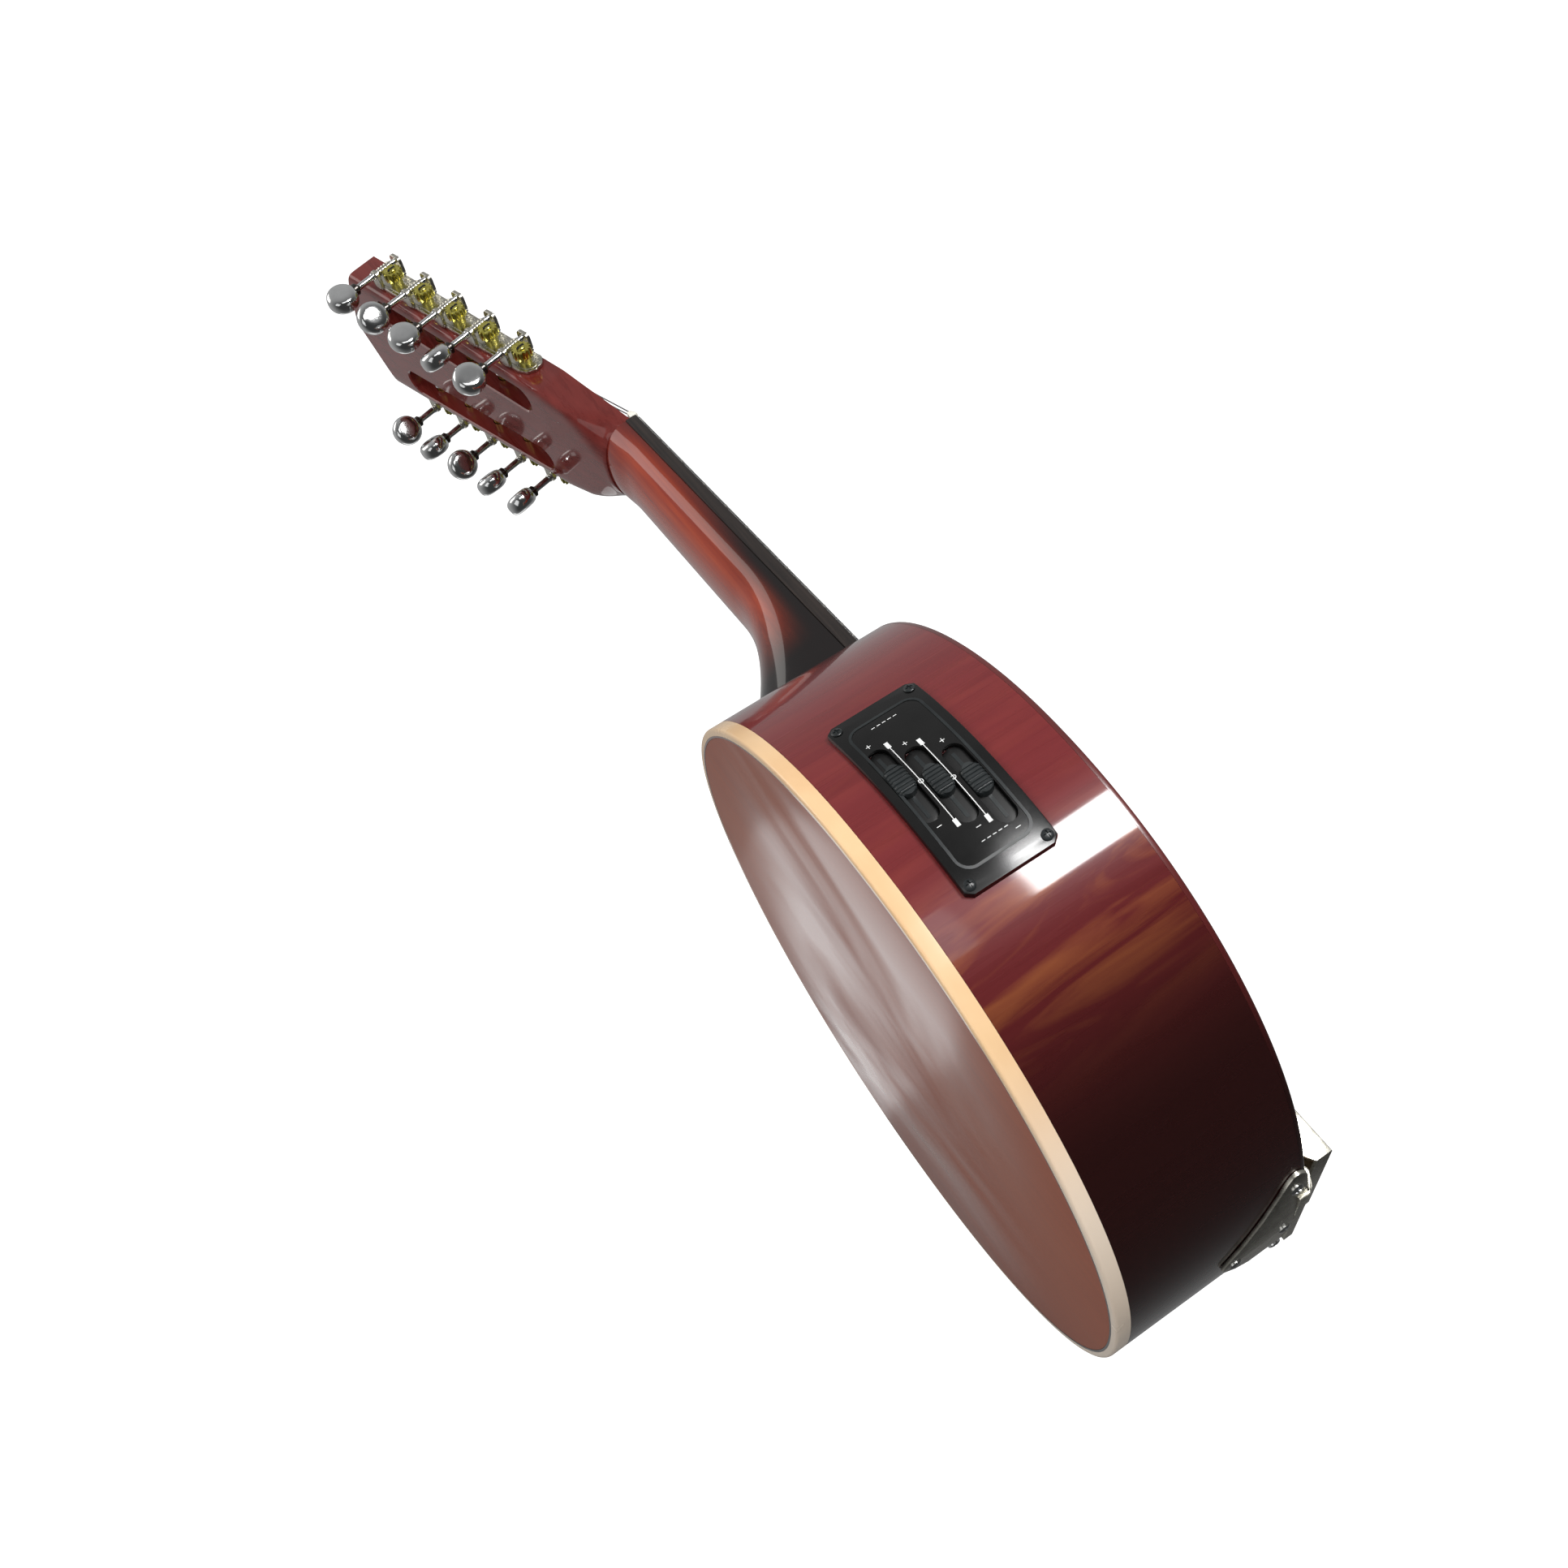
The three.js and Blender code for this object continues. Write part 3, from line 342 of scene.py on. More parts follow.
class Look:
    """One procedural material, built round a Principled shader."""

    def __init__(self, name, roughness=0.4, metallic=0.0, coat=0.0, coat_roughness=0.05):
        self.material = bpy.data.materials.new(name)
        self.material.use_nodes = True
        self.tree = self.material.node_tree
        self.shader = self.tree.nodes["Principled BSDF"]
        self.shader.inputs["Roughness"].default_value = roughness
        self.shader.inputs["Metallic"].default_value = metallic
        self.shader.inputs["Coat Weight"].default_value = coat
        self.shader.inputs["Coat Roughness"].default_value = coat_roughness
        if coat == 1.0:  # under a full coat of lacquer, the wood itself hardly shines
            self.shader.inputs["Specular IOR Level"].default_value = 0.12
        self.where = self.tree.nodes.new("ShaderNodeTexCoord").outputs["Object"]

    def link(self, a, b):
        self.tree.links.new(a, b)

    def stretched(self, scale):
        node = self.tree.nodes.new("ShaderNodeMapping")
        node.inputs["Scale"].default_value = scale
        self.link(self.where, node.inputs["Vector"])
        return node.outputs["Vector"]

    def noise(self, scale, detail=5.0, roughness=0.55, distortion=0.0):
        node = self.tree.nodes.new("ShaderNodeTexNoise")
        node.inputs["Scale"].default_value = 1.0
        node.inputs["Detail"].default_value = detail
        node.inputs["Roughness"].default_value = roughness
        node.inputs["Distortion"].default_value = distortion
        self.link(self.stretched(scale), node.inputs["Vector"])
        return node.outputs["Fac"]

    def ramp(self, value, stops):
        node = self.tree.nodes.new("ShaderNodeValToRGB")
        elements = node.color_ramp.elements
        while len(elements) < len(stops):
            elements.new(0.5)
        for element, (at, colour) in zip(elements, stops):
            element.position = at
            grey = (colour,) * 3 if isinstance(colour, (int, float)) else colour
            element.color = (*grey, 1)
        self.link(value, node.inputs["Fac"])
        return node.outputs["Color"]

    def fade(self, axis, start, end):
        """0 at start mm and 1 at end mm along an axis of the instrument."""
        parts = self.tree.nodes.new("ShaderNodeSeparateXYZ")
        self.link(self.where, parts.inputs["Vector"])
        node = self.tree.nodes.new("ShaderNodeMapRange")
        index = "XYZ".index(axis)
        node.interpolation_type = "SMOOTHSTEP"
        node.inputs["From Min"].default_value = start / 1000 + ORIGIN[index]
        node.inputs["From Max"].default_value = end / 1000 + ORIGIN[index]
        self.link(parts.outputs[axis], node.inputs["Value"])
        return node.outputs["Result"]

    def maths(self, operation, a, b):
        node = self.tree.nodes.new("ShaderNodeMath")
        node.operation = operation
        node.use_clamp = True
        for socket, value in zip(node.inputs, (a, b)):
            if isinstance(value, (int, float)):
                socket.default_value = value
            else:
                self.link(value, socket)
        return node.outputs["Value"]

    def mix(self, factor, a, b, blend="MIX"):
        node = self.tree.nodes.new("ShaderNodeMix")
        node.data_type, node.blend_type = "RGBA", blend
        for socket, value in ((node.inputs[0], factor), (node.inputs[6], a), (node.inputs[7], b)):
            if isinstance(value, tuple):
                socket.default_value = (*value, 1)
            elif isinstance(value, (int, float)):
                socket.default_value = value
            else:
                self.link(value, socket)
        return node.outputs[2]

    def colour(self, socket):
        self.link(socket, self.shader.inputs["Base Color"])
        return self

    def rough(self, value, low, high):
        node = self.tree.nodes.new("ShaderNodeMapRange")
        node.inputs["To Min"].default_value = low
        node.inputs["To Max"].default_value = high
        self.link(value, node.inputs["Value"])
        self.link(node.outputs["Result"], self.shader.inputs["Roughness"])
        return self

    def bump(self, height, strength, distance, coat=False):
        node = self.tree.nodes.new("ShaderNodeBump")
        node.inputs["Strength"].default_value = strength
        node.inputs["Distance"].default_value = distance / 1000
        self.link(height, node.inputs["Height"])
        self.link(node.outputs["Normal"], self.shader.inputs["Normal"])
        if coat:
            self.link(node.outputs["Normal"], self.shader.inputs["Coat Normal"])
        return self


def side_wood():
    look = Look("side_lacquer", coat=1.0, coat_roughness=0.06)
    grain = look.noise((60, 12, 260), 6, 0.55)
    base = look.ramp(grain, [(0.2, (0.115, 0.011, 0.013)), (0.8, (0.155, 0.018, 0.020))])
    # Flamed figure: bands across the rim, strongest on the lower bout.
    flame = look.noise((15, 10, 78), 4, 0.55, 2.2)
    streak = look.ramp(flame, [(0.46, 0.0), (0.68, 1.0)])
    zone = look.maths("MULTIPLY", look.fade("Z", 38, 66), look.fade("Z", 102, 80))
    amount = look.maths("MULTIPLY", streak, zone)
    amber = look.mix(look.maths("MULTIPLY", amount, 0.85), base, (0.31, 0.088, 0.030))
    faint = look.maths("MULTIPLY", streak, 0.10)
    amber = look.mix(faint, amber, (0.30, 0.06, 0.03))
    burst = look.mix(look.maths("MULTIPLY", look.fade("Z", 100, 26), 0.96), amber,
                     (0.012, 0.0025, 0.0022))
    look.colour(burst)
    look.rough(grain, 0.22, 0.34)
    return look.bump(look.noise((60, 60, 60), 2), 0.05, 0.4).material


def back_wood():
    look = Look("back_lacquer", coat=1.0, coat_roughness=0.2)
    grain = look.noise((260, 260, 14), 7, 0.62, 0.4)
    base = look.ramp(grain, [(0.28, (0.175, 0.048, 0.030)), (0.72, (0.255, 0.080, 0.052))])
    broad = look.ramp(look.noise((9, 9, 5), 3, 0.5), [(0.35, 0.0), (0.7, 1.0)])
    amber = look.mix(look.maths("MULTIPLY", broad, 0.5), base, (0.32, 0.115, 0.068))
    look.colour(amber)
    # The lacquer's gloss is worn unevenly, which leaves milky patches across the middle.
    cloud = look.ramp(look.noise((13, 13, 8), 3, 0.5, 0.6), [(0.36, 0.05), (0.64, 1.0)])
    belt = look.maths("MULTIPLY", look.fade("Z", 25, 95), look.fade("Z", 225, 165))
    gloss = look.maths("ADD", look.maths("MULTIPLY", cloud, belt), 0.12)
    look.link(gloss, look.shader.inputs["Coat Weight"])
    look.rough(grain, 0.45, 0.6)
    return look.bump(look.noise((40, 40, 26), 3), 0.07, 0.5, coat=True).material


def neck_wood():
    look = Look("neck_lacquer", coat=1.0, coat_roughness=0.05)
    grain = look.noise((330, 330, 16), 7, 0.6)
    base = look.ramp(grain, [(0.3, (0.24, 0.018, 0.005)), (0.7, (0.40, 0.050, 0.010))])
    wine = look.mix(look.maths("MULTIPLY", look.fade("Z", 405, 440), 0.8), base,
                    (0.13, 0.016, 0.014))
    side = look.fade("Y", -60, -72)
    dusk = look.mix(look.maths("MULTIPLY", side, 0.8), wine, (0.045, 0.006, 0.006))
    burst = look.mix(look.fade("Z", 312, 268), dusk, (0.005, 0.003, 0.003))
    shade = look.maths("MULTIPLY", side, look.fade("Z", 395, 320))
    look.colour(look.mix(shade, burst, (0.005, 0.003, 0.003)))
    look.rough(grain, 0.2, 0.3)
    return look.bump(look.noise((50, 50, 30), 2), 0.04, 0.4).material


def head_wood():
    look = Look("headstock_lacquer", coat=1.0, coat_roughness=0.05)
    grain = look.noise((300, 300, 16), 7, 0.6, 0.3)
    base = look.ramp(grain, [(0.3, (0.095, 0.011, 0.009)), (0.7, (0.17, 0.025, 0.020))])
    look.colour(look.mix(look.maths("MULTIPLY", look.fade("Z", 620, 440), 0.3), base,
                         (0.10, 0.012, 0.011)))
    look.rough(grain, 0.22, 0.34)
    return look.bump(look.noise((50, 50, 30), 2), 0.05, 0.4).material


def plain_wood(name, dark, light, scale=(500, 500, 16), coat=0.0, roughness=(0.4, 0.6)):
    look = Look(name, coat=coat, coat_roughness=0.12)
    grain = look.noise(scale, 6, 0.62)
    look.colour(look.ramp(grain, [(0.3, dark), (0.7, light)]))
    look.rough(grain, *roughness)
    return look.bump(grain, 0.25, 0.15).material


def binding(name, dark, light, roughness=0.25):
    look = Look(name, roughness=roughness, coat=0.5, coat_roughness=0.08)
    cloud = look.noise((22, 30, 22), 4, 0.55)
    tone = look.ramp(cloud, [(0.3, dark), (0.72, light)])
    pale = tuple(lerp(c, 0.80, 0.45) if light[0] > 0.5 else c * 0.1 for c in light)
    look.colour(look.mix(look.fade("Z", 62, 12), tone, pale))
    look.rough(cloud, roughness - 0.06, roughness + 0.08)
    return look.bump(look.noise((500, 500, 500), 2), 0.06, 0.08).material


def metal(name, dark, light, roughness, scale=320, spots=0.0):
    look = Look(name, metallic=1.0)
    wear = look.noise((scale, scale, scale), 5, 0.6)
    tone = look.ramp(wear, [(0.3, dark), (0.68, light)])
    if spots:
        dull = look.ramp(look.noise((140, 140, 140), 4, 0.7), [(0.55, 0.0), (0.72, spots)])
        tone = look.mix(dull, tone, tuple(c * 0.45 for c in dark))
    look.colour(tone)
    look.rough(wear, roughness * 0.7, roughness * 1.35)
    return look.bump(look.noise((900, 900, 900), 3), 0.08, 0.05).material


def plastic(name, dark, light, roughness=0.35, texture=1500, strength=0.2):
    look = Look(name)
    tone = look.noise((60, 60, 60), 4, 0.6)
    look.colour(look.ramp(tone, [(0.3, dark), (0.7, light)]))
    look.rough(tone, roughness * 0.8, roughness * 1.25)
    return look.bump(look.noise((texture,) * 3, 2), strength, 0.05).material


SIDE_WOOD, BACK_WOOD = side_wood(), back_wood()
NECK_WOOD, HEAD_WOOD = neck_wood(), head_wood()
SPRUCE = plain_wood("soundboard_spruce", (0.42, 0.20, 0.07), (0.66, 0.38, 0.16),
                    (1100, 40, 9), 0.8, (0.2, 0.3))
INNER = plain_wood("inner_cedar", (0.30, 0.17, 0.08), (0.50, 0.32, 0.17), (300, 300, 30))
EBONY = plain_wood("fingerboard_ebony", (0.006, 0.005, 0.005), (0.026, 0.018, 0.015),
                   (900, 900, 22), 0.15, (0.3, 0.45))
BRIDGE_WOOD = plain_wood("bridge_rosewood", (0.035, 0.014, 0.009), (0.10, 0.042, 0.026),
                         (22, 700, 700), 0.3)
CREAM = binding("binding_cream", (0.66, 0.42, 0.22), (0.78, 0.55, 0.32))
BROWN = binding("purfling_brown", (0.075, 0.022, 0.012), (0.13, 0.042, 0.022))
DARK = binding("edge_wine", (0.075, 0.010, 0.010), (0.12, 0.017, 0.016))
BONE = binding("bone_white", (0.72, 0.69, 0.60), (0.86, 0.84, 0.77))
NICKEL = metal("nickel_worn", (0.52, 0.50, 0.43), (0.76, 0.74, 0.66), 0.27, 320, 0.4)
CHROME = metal("chrome_bright", (0.78, 0.79, 0.79), (0.88, 0.89, 0.89), 0.12, 120)
BRASS = metal("brass_gear", (0.60, 0.52, 0.08), (0.86, 0.80, 0.24), 0.25, 400, 0.25)
STEEL = metal("string_wire", (0.50, 0.50, 0.50), (0.70, 0.70, 0.71), 0.2, 900)
# Painted shade for the tuner stems just under their buttons.
COLLAR_SHADE = metal("painted_shade_collar", (0.07, 0.065, 0.06), (0.16, 0.15, 0.14), 0.25, 500)
FRET = metal("fret_wire", (0.52, 0.51, 0.48), (0.70, 0.69, 0.66), 0.16, 500)
PANEL_BLACK = plastic("panel_black", (0.002, 0.002, 0.002), (0.005, 0.005, 0.005), 0.20,
                      1400, 0.1)
# Black for the slider tracks' floors; in the gear screws' slots it is painted shade.
SLOT_FLOOR_BLACK_AND_SHADE = plastic("slot_floor_black_and_painted_shade", (0.0015, 0.0015, 0.0015), (0.004, 0.004, 0.004),
                       0.5)
CAP_GREY = plastic("slider_cap_grey", (0.008, 0.010, 0.011), (0.020, 0.024, 0.025), 0.32)
HOUSING = plastic("housing_grey", (0.010, 0.010, 0.010), (0.022, 0.022, 0.022), 0.5)
INK = plastic("panel_ink", (0.55, 0.56, 0.56), (0.72, 0.73, 0.73), 0.45)
CELL = plastic("battery_wrap", (0.020, 0.024, 0.028), (0.045, 0.050, 0.056), 0.3)


# ---------------------------------------------------------------- CAD nodes that stay

def keep(node, material, bevel):
    """A CAD node whose shape is right: its own material, soft edges and smooth shading."""
    obj = nodes[node]
    obj.data.materials.clear()
    obj.data.materials.append(material)
    weld = obj.modifiers.new("weld", "WELD")
    weld.merge_threshold = 1e-5
    soften(obj, bevel, 42)
    for face in obj.data.polygons:
        face.use_smooth = True
    split = obj.modifiers.new("split", "EDGE_SPLIT")
    split.split_angle = math.radians(34)


for name in ("neck_block", "tail_block", "front_lining", "back_lining", "soundboard_brace_upper",
             "soundboard_brace_lower", "back_brace"):
    keep(name, INNER, 0.4)
for name, material, bevel in (
        ("nut", BONE, 0.5), ("saddle", BONE, 0.4), ("bridge", BRIDGE_WOOD, 0.6),
        ("tailpiece_base", NICKEL, 0.25), ("tailpiece_cover", NICKEL, 0.3),
        ("preamp_housing", HOUSING, 0.5), ("battery", CELL, 1.2), ("output_jack", NICKEL, 0.3),
        ("piezo_pickup", BRASS, 0.15)):
    keep(name, material, bevel)


# ---------------------------------------------------------------- body

def build_body():
    face = -BODY_DEPTH
    under = -BINDING_HEIGHT - 0.05
    piece("body_sides", [ring([(0, under), (0, -30), (0, -50), (0, face + 2.05),
                               (3, face + 2.05), (3, under)])],
          "side_wood", SIDE_WOOD, replaces=["side_rim"])
    side, high = BINDING_WIDTH, BINDING_HEIGHT
    piece("back_edge_binding", [ring([(side, -high), (side, 0), (1.2, 0), (0.7, -0.1),
                                      (0.3, -0.35), (0.08, -0.7), (0, -1.2),
                                      (0, -high + 0.05)])],
          "cream_binding", CREAM, replaces=["back_binding"], sharp=50)
    line = BINDING_WIDTH + PURFLING
    piece("back_purfling", [ring([(BINDING_WIDTH + 0.02, -1.5), (BINDING_WIDTH + 0.02, 0.0),
                                  (line, 0.0), (line, -1.5)])], "dark_binding", BROWN)
    inner = line + 0.02
    piece("back_panel", [plate([(inner + 40, -3), (inner, -3), (inner, -0.25),
                                (inner + 0.1, -0.06), (inner + 0.35, 0), (inner + 40, 0)])],
          "back_wood", BACK_WOOD, replaces=["back_plate"])
    piece("soundboard_face", [holed_plate(face, face + 2, 2.9, HOLE_Z, HOLE_RADIUS)],
          "spruce", SPRUCE, replaces=["soundboard"])
    piece("soundboard_edge", [ring([(0, face + 2), (0, face + 0.9), (0.25, face + 0.35),
                                    (0.8, face), (2.1, face), (2.1, face + 2)])],
          "dark_binding", DARK, replaces=["soundboard_binding"])
    piece("soundboard_purfling", [ring([(2.12, face), (2.85, face), (2.85, face + 1.2),
                                        (2.12, face + 1.2)])], "cream_binding", CREAM)

    def on_board(u, v, h):
        return u, face - h, HOLE_Z + v

    for name, radius, width, material, slot in (
            ("rosette_dark_inner", 31, 1.0, DARK, "dark_binding"),
            ("rosette_cream", 33, 2.4, CREAM, "cream_binding"),
            ("rosette_dark_outer", 35.4, 1.0, DARK, "dark_binding")):
        near, far = radius - width / 2, radius + width / 2
        loops = [[on_board(r * math.sin(a), r * math.cos(a), h)
                  for r, h in ((near, -0.6), (near, 0.08), (far, 0.08), (far, -0.6))]
                 for a in around(96)]
        piece(name, [loft(loops, closed=True)], slot, material)


# ---------------------------------------------------------------- neck and headstock

def d_section(half, depth, roundness, steps=40):
    """Round from +x over the back to -x, then flat across the front."""
    points = []
    power = 2 / roundness
    for i in range(steps + 1):
        a = math.pi * i / steps
        c, s = math.cos(a), math.sin(a)
        points.append((half * math.copysign(abs(c) ** power, c), depth * max(s, 0) ** power))
    for i in range(1, 8):
        points.append((lerp(-half, half, i / 8), 0))
    return points


def build_neck():
    sections = []
    stations, flare_start = 90, 172
    top = BOARD_THICKNESS + 0.05
    for i in range(stations + 1):
        z = lerp(-4, NECK_LENGTH + 2, (i / stations) ** 1.25)
        t = clamp(z / NECK_LENGTH)
        half = lerp(28, 24, t) - 0.8
        heel = HEEL_DROP * max(1 - max(z, 0) / HEEL_LENGTH, 0) ** HEEL_POWER
        # The last stretch thickens to the headstock's own depth.
        flare = clamp((z - flare_start) / (NECK_LENGTH - flare_start))
        depth = lerp(15, 13, t) + heel + 1.7 * flare * flare * (3 - 2 * flare)
        section = []
        for x, d in d_section(half, depth, 2.2):
            px, py, pz = neck_point(x, top + d, z)
            pz = max(pz, end_z(px, True, -0.12)) if z < 40 else min(pz, NUT_Z + 0.08)
            section.append((px, py, pz))
        sections.append(section)
    piece("neck_shaft", [loft(sections)], "neck_wood", NECK_WOOD, replaces=["neck"])

    half = 27.2
    points, faces = loft([[neck_point(x, d, z) for x, d in ((-half, top), (half, top),
                                                            (half, top + 3.0), (-half, top + 3.0))]
                          for z in (-62, -30, 2)])
    above_face = [(x, min(y, -BODY_DEPTH - 0.05), z) for x, y, z in points]
    piece("neck_tongue", [(above_face, faces)], "neck_wood", NECK_WOOD, bevel=0.3)

    board = []
    for z in [lerp(-BOARD_OVERHANG, NECK_LENGTH, k / 30) for k in range(31)]:
        half = board_half(z)
        board.append([neck_point(x, d, z) for x, d in
                      ((-half, BOARD_THICKNESS), (-half, 0.9), (-half + 0.25, 0.45),
                       (-half + 0.9, 0.2), (-half / 2, 0.04), (0, 0), (half / 2, 0.04),
                       (half - 0.9, 0.2), (half - 0.25, 0.45), (half, 0.9),
                       (half, BOARD_THICKNESS))])
    piece("fingerboard_ebony", [loft(board)], "ebony", EBONY, replaces=["fingerboard"])

    frets = []
    for n in range(1, FRETS + 1):
        z = NECK_LENGTH - SCALE_LENGTH * (1 - 2 ** (-n / 12))
        half = board_half(z) + 0.12
        loops = []
        for k in range(9):
            x = lerp(-half, half, k / 8)
            low = 0.05 if 0 < k < 8 else 0.35
            loops.append([neck_point(x, low + 0.35 - h, z + w) for w, h in
                          ((-1.05, 0), (-0.85, 0.55), (-0.35, 0.95), (0.35, 0.95), (0.85, 0.55),
                           (1.05, 0))])
        frets.append(loft(loops))
    piece("frets", frets, "nickel", FRET)


def head_size(s):
    """Half width, depth and roundness of the headstock at s from the nut."""
    spread = clamp(s / HEAD_SHOULDER)
    squared = clamp(s / HEAD_SQUARE) ** 2.6
    edge = HEAD_HALF + max(s, HEAD_SHOULDER) * math.tan(HEAD_TAPER)
    half = lerp(23.2, edge, spread)
    return half, lerp(17.4, 18, spread), lerp(2.2, 14, squared)


def build_headstock():
    sections = []
    stations, tip_start = 120, 150
    for i in range(stations + 1):
        s = lerp(-6, HEAD_CORNER, i / stations)
        half, depth, roundness = head_size(s)
        stretch = clamp((s - tip_start) / (HEAD_CORNER - tip_start))
        section = []
        for x, d in d_section(half, depth, roundness, 56):
            tip = (HEAD_TIP - HEAD_CORNER) * (1 - min(abs(x) / half, 1)) * stretch
            px, py, pz = head_point(x, d, s + tip)
            section.append((px, py, max(pz, NUT_Z + 0.05)))
        sections.append(section)
    head = piece("headstock_body", [loft(sections)], "head_wood", HEAD_WOOD,
                 replaces=["headstock"], sharp=32)
    cutters = []
    for side in SIDES.values():
        outer, inner = -SLOT_WALL, -SLOT_WALL - SLOT_WIDTH
        radius = SLOT_WIDTH / 2 - 0.01
        loops = []
        for d, grow in ((-2, 0.7), (0.0, 0.7), (0.7, 0), (HEAD_THICKNESS - 0.7, 0),
                        (HEAD_THICKNESS, 0.7), (HEAD_THICKNESS + 2, 0.7)):
            shape = rounded(inner - grow, outer + grow, SLOT_START - grow, SLOT_END + grow,
                            radius + grow, 12)
            loops.append([row_point(side, a, d, s) for a, s in shape])
        cutters.append(loft(loops))
        wedge = [(-1.5, 24), (0, 24), (7, 60), (-1.5, 60)]
        cutters.append(loft([[row_point(side, x, d, s) for d, s in wedge]
                             for x in (outer - 19, outer)]))
        for i in range(TUNERS):
            at = roller_at(i)
            cutters.append(spun([(ROLLER_RADIUS + 0.4, inner - ROLLER_SEAT - 0.3),
                                 (ROLLER_RADIUS + 0.4, 3)],
                                lambda u, v, h: row_point(side, h, GEAR_DEPTH + u, at + v), 24))
    carve(head, cutters)


# ---------------------------------------------------------------- tuners

def build_plate(label, side):
    def raised(a, b, h):
        return row_point(side, h, a, b)

    def shelf(a, b, h):
        return row_point(side, a, h, b)

    first, last = roller_at(0) - 1, worm_at(TUNERS - 1) + 4
    middle, radius = 7.0, 6.5
    outer_edge = []
    lobes = 9
    for end, start in ((last, 0), (first, math.pi)):
        for k in range(73):
            a = start + math.pi * k / 72
            r = radius + 0.45 * abs(math.cos(lobes * a / 2)) - 0.2
            outer_edge.append((middle + r * math.cos(a), end + r * math.sin(a)))
    shells = [prism(outer_edge, raised, 0.25, 1.8)]
    inner_edge = rounded(middle - 5.2, middle + 5.2, first - 5.2, last + 5.2, 5.19, 14)
    shells.append(prism(inner_edge, raised, 1.7, 2.05))
    for i in range(TUNERS):
        w = worm_at(i)
        # Two folded tabs hold each worm, and each has a thicker root on the plate.
        for below, above, tab, root in ((3.5, 4.5, (-0.8, 1.0), (-0.6, 2.5)),
                                        (3.0, 3.0, (12.8, 14.6), (11.5, 14.4))):
            shells.append(prism(rounded(0.5, 10.4, w - below, w + above, 2.6), shelf, *tab))
            shells.append(prism(rounded(0.5, 1.8, w - below, w + above, 0.4, 2), shelf, *root))
    piece(f"tuner_bracket_{label}", shells, "nickel", NICKEL,
          replaces=[f"tuner_plate_{label}"], bevel=0.22)


def build_knob(label, side, i):
    w = worm_at(i)
    body = f"knob_{label}_{i + 1}"

    def shaft(u, v, h):
        return row_point(side, WORM_OUT + u, h, w + v)

    stem = [(0, -1.7), (0.9, -1.7), (1.25, -1.45), (1.25, 3.3), (1.6, 3.5), (1.6, 12.5),
            (1.25, 12.7), (1.25, 15.0), (2.0, 15.2), (2.0, 15.9), (1.7, 16.2), (1.6, 24.0),
            (1.7, 25.0), (2.3, 26.0), (2.7, 26.4), (2.7, 27.2), (2.3, 27.4), (2.3, 28.0),
            (2.8, 28.3), (2.6, 29.4), (0, 29.4)]
    shells = [spun(stem, shaft, 24)]
    turn = math.radians(KNOB_TURNS[label][i])
    c, s = math.cos(turn), math.sin(turn)

    def lens(u, v, h):
        return row_point(side, WORM_OUT + h * s + v * c, KNOB_CENTRE + u, w + h * c - v * s)

    profile = []
    for k in range(25):
        a = math.pi * (k / 24 - 0.5)
        r = KNOB_RADIUS * max(math.cos(a), 0) ** 0.45
        h = KNOB_HALF * math.copysign(abs(math.sin(a)) ** 0.8, math.sin(a))
        profile.append((r, h))
    shells.append(spun(profile, lens, 48))
    piece(f"knob_{label}_{i + 1}_button", shells, "chrome", CHROME, body=body,
          replaces=[f"tuner_knob_{label}_{i + 1}"], sharp=40)

    rows = []
    reach, thread_pitch, steps = 4.3, 1.7, 56
    for k in range(steps + 1):
        h = lerp(GEAR_DEPTH - reach, GEAR_DEPTH + reach, k / steps)
        ends = min(clamp(k / 4), clamp((steps - k) / 4))
        loop = []
        for a in around(20):
            wave = abs(((h / thread_pitch - a / (2 * math.pi)) % 1) * 2 - 1)
            r = 1.45 + 0.72 * wave * ends
            loop.append(shaft(r * math.cos(a), r * math.sin(a), h))
        rows.append(loop)
    piece(f"worm_{label}_{i + 1}", [loft(rows)], "nickel", NICKEL, body=body, sharp=60)
    # Painted shade: a dark ring on the stem just under each button, where the button shades it.
    collar = [(1.6, 24.6), (2.3, 25.4), (2.95, 25.9), (2.95, 27.6), (2.4, 28.0), (1.6, 28.2)]
    piece(f"collar_{label}_{i + 1}", [spun([(0, 24.6), *collar, (0, 28.2)], shaft, 24)],
          "chrome", COLLAR_SHADE, body=body)


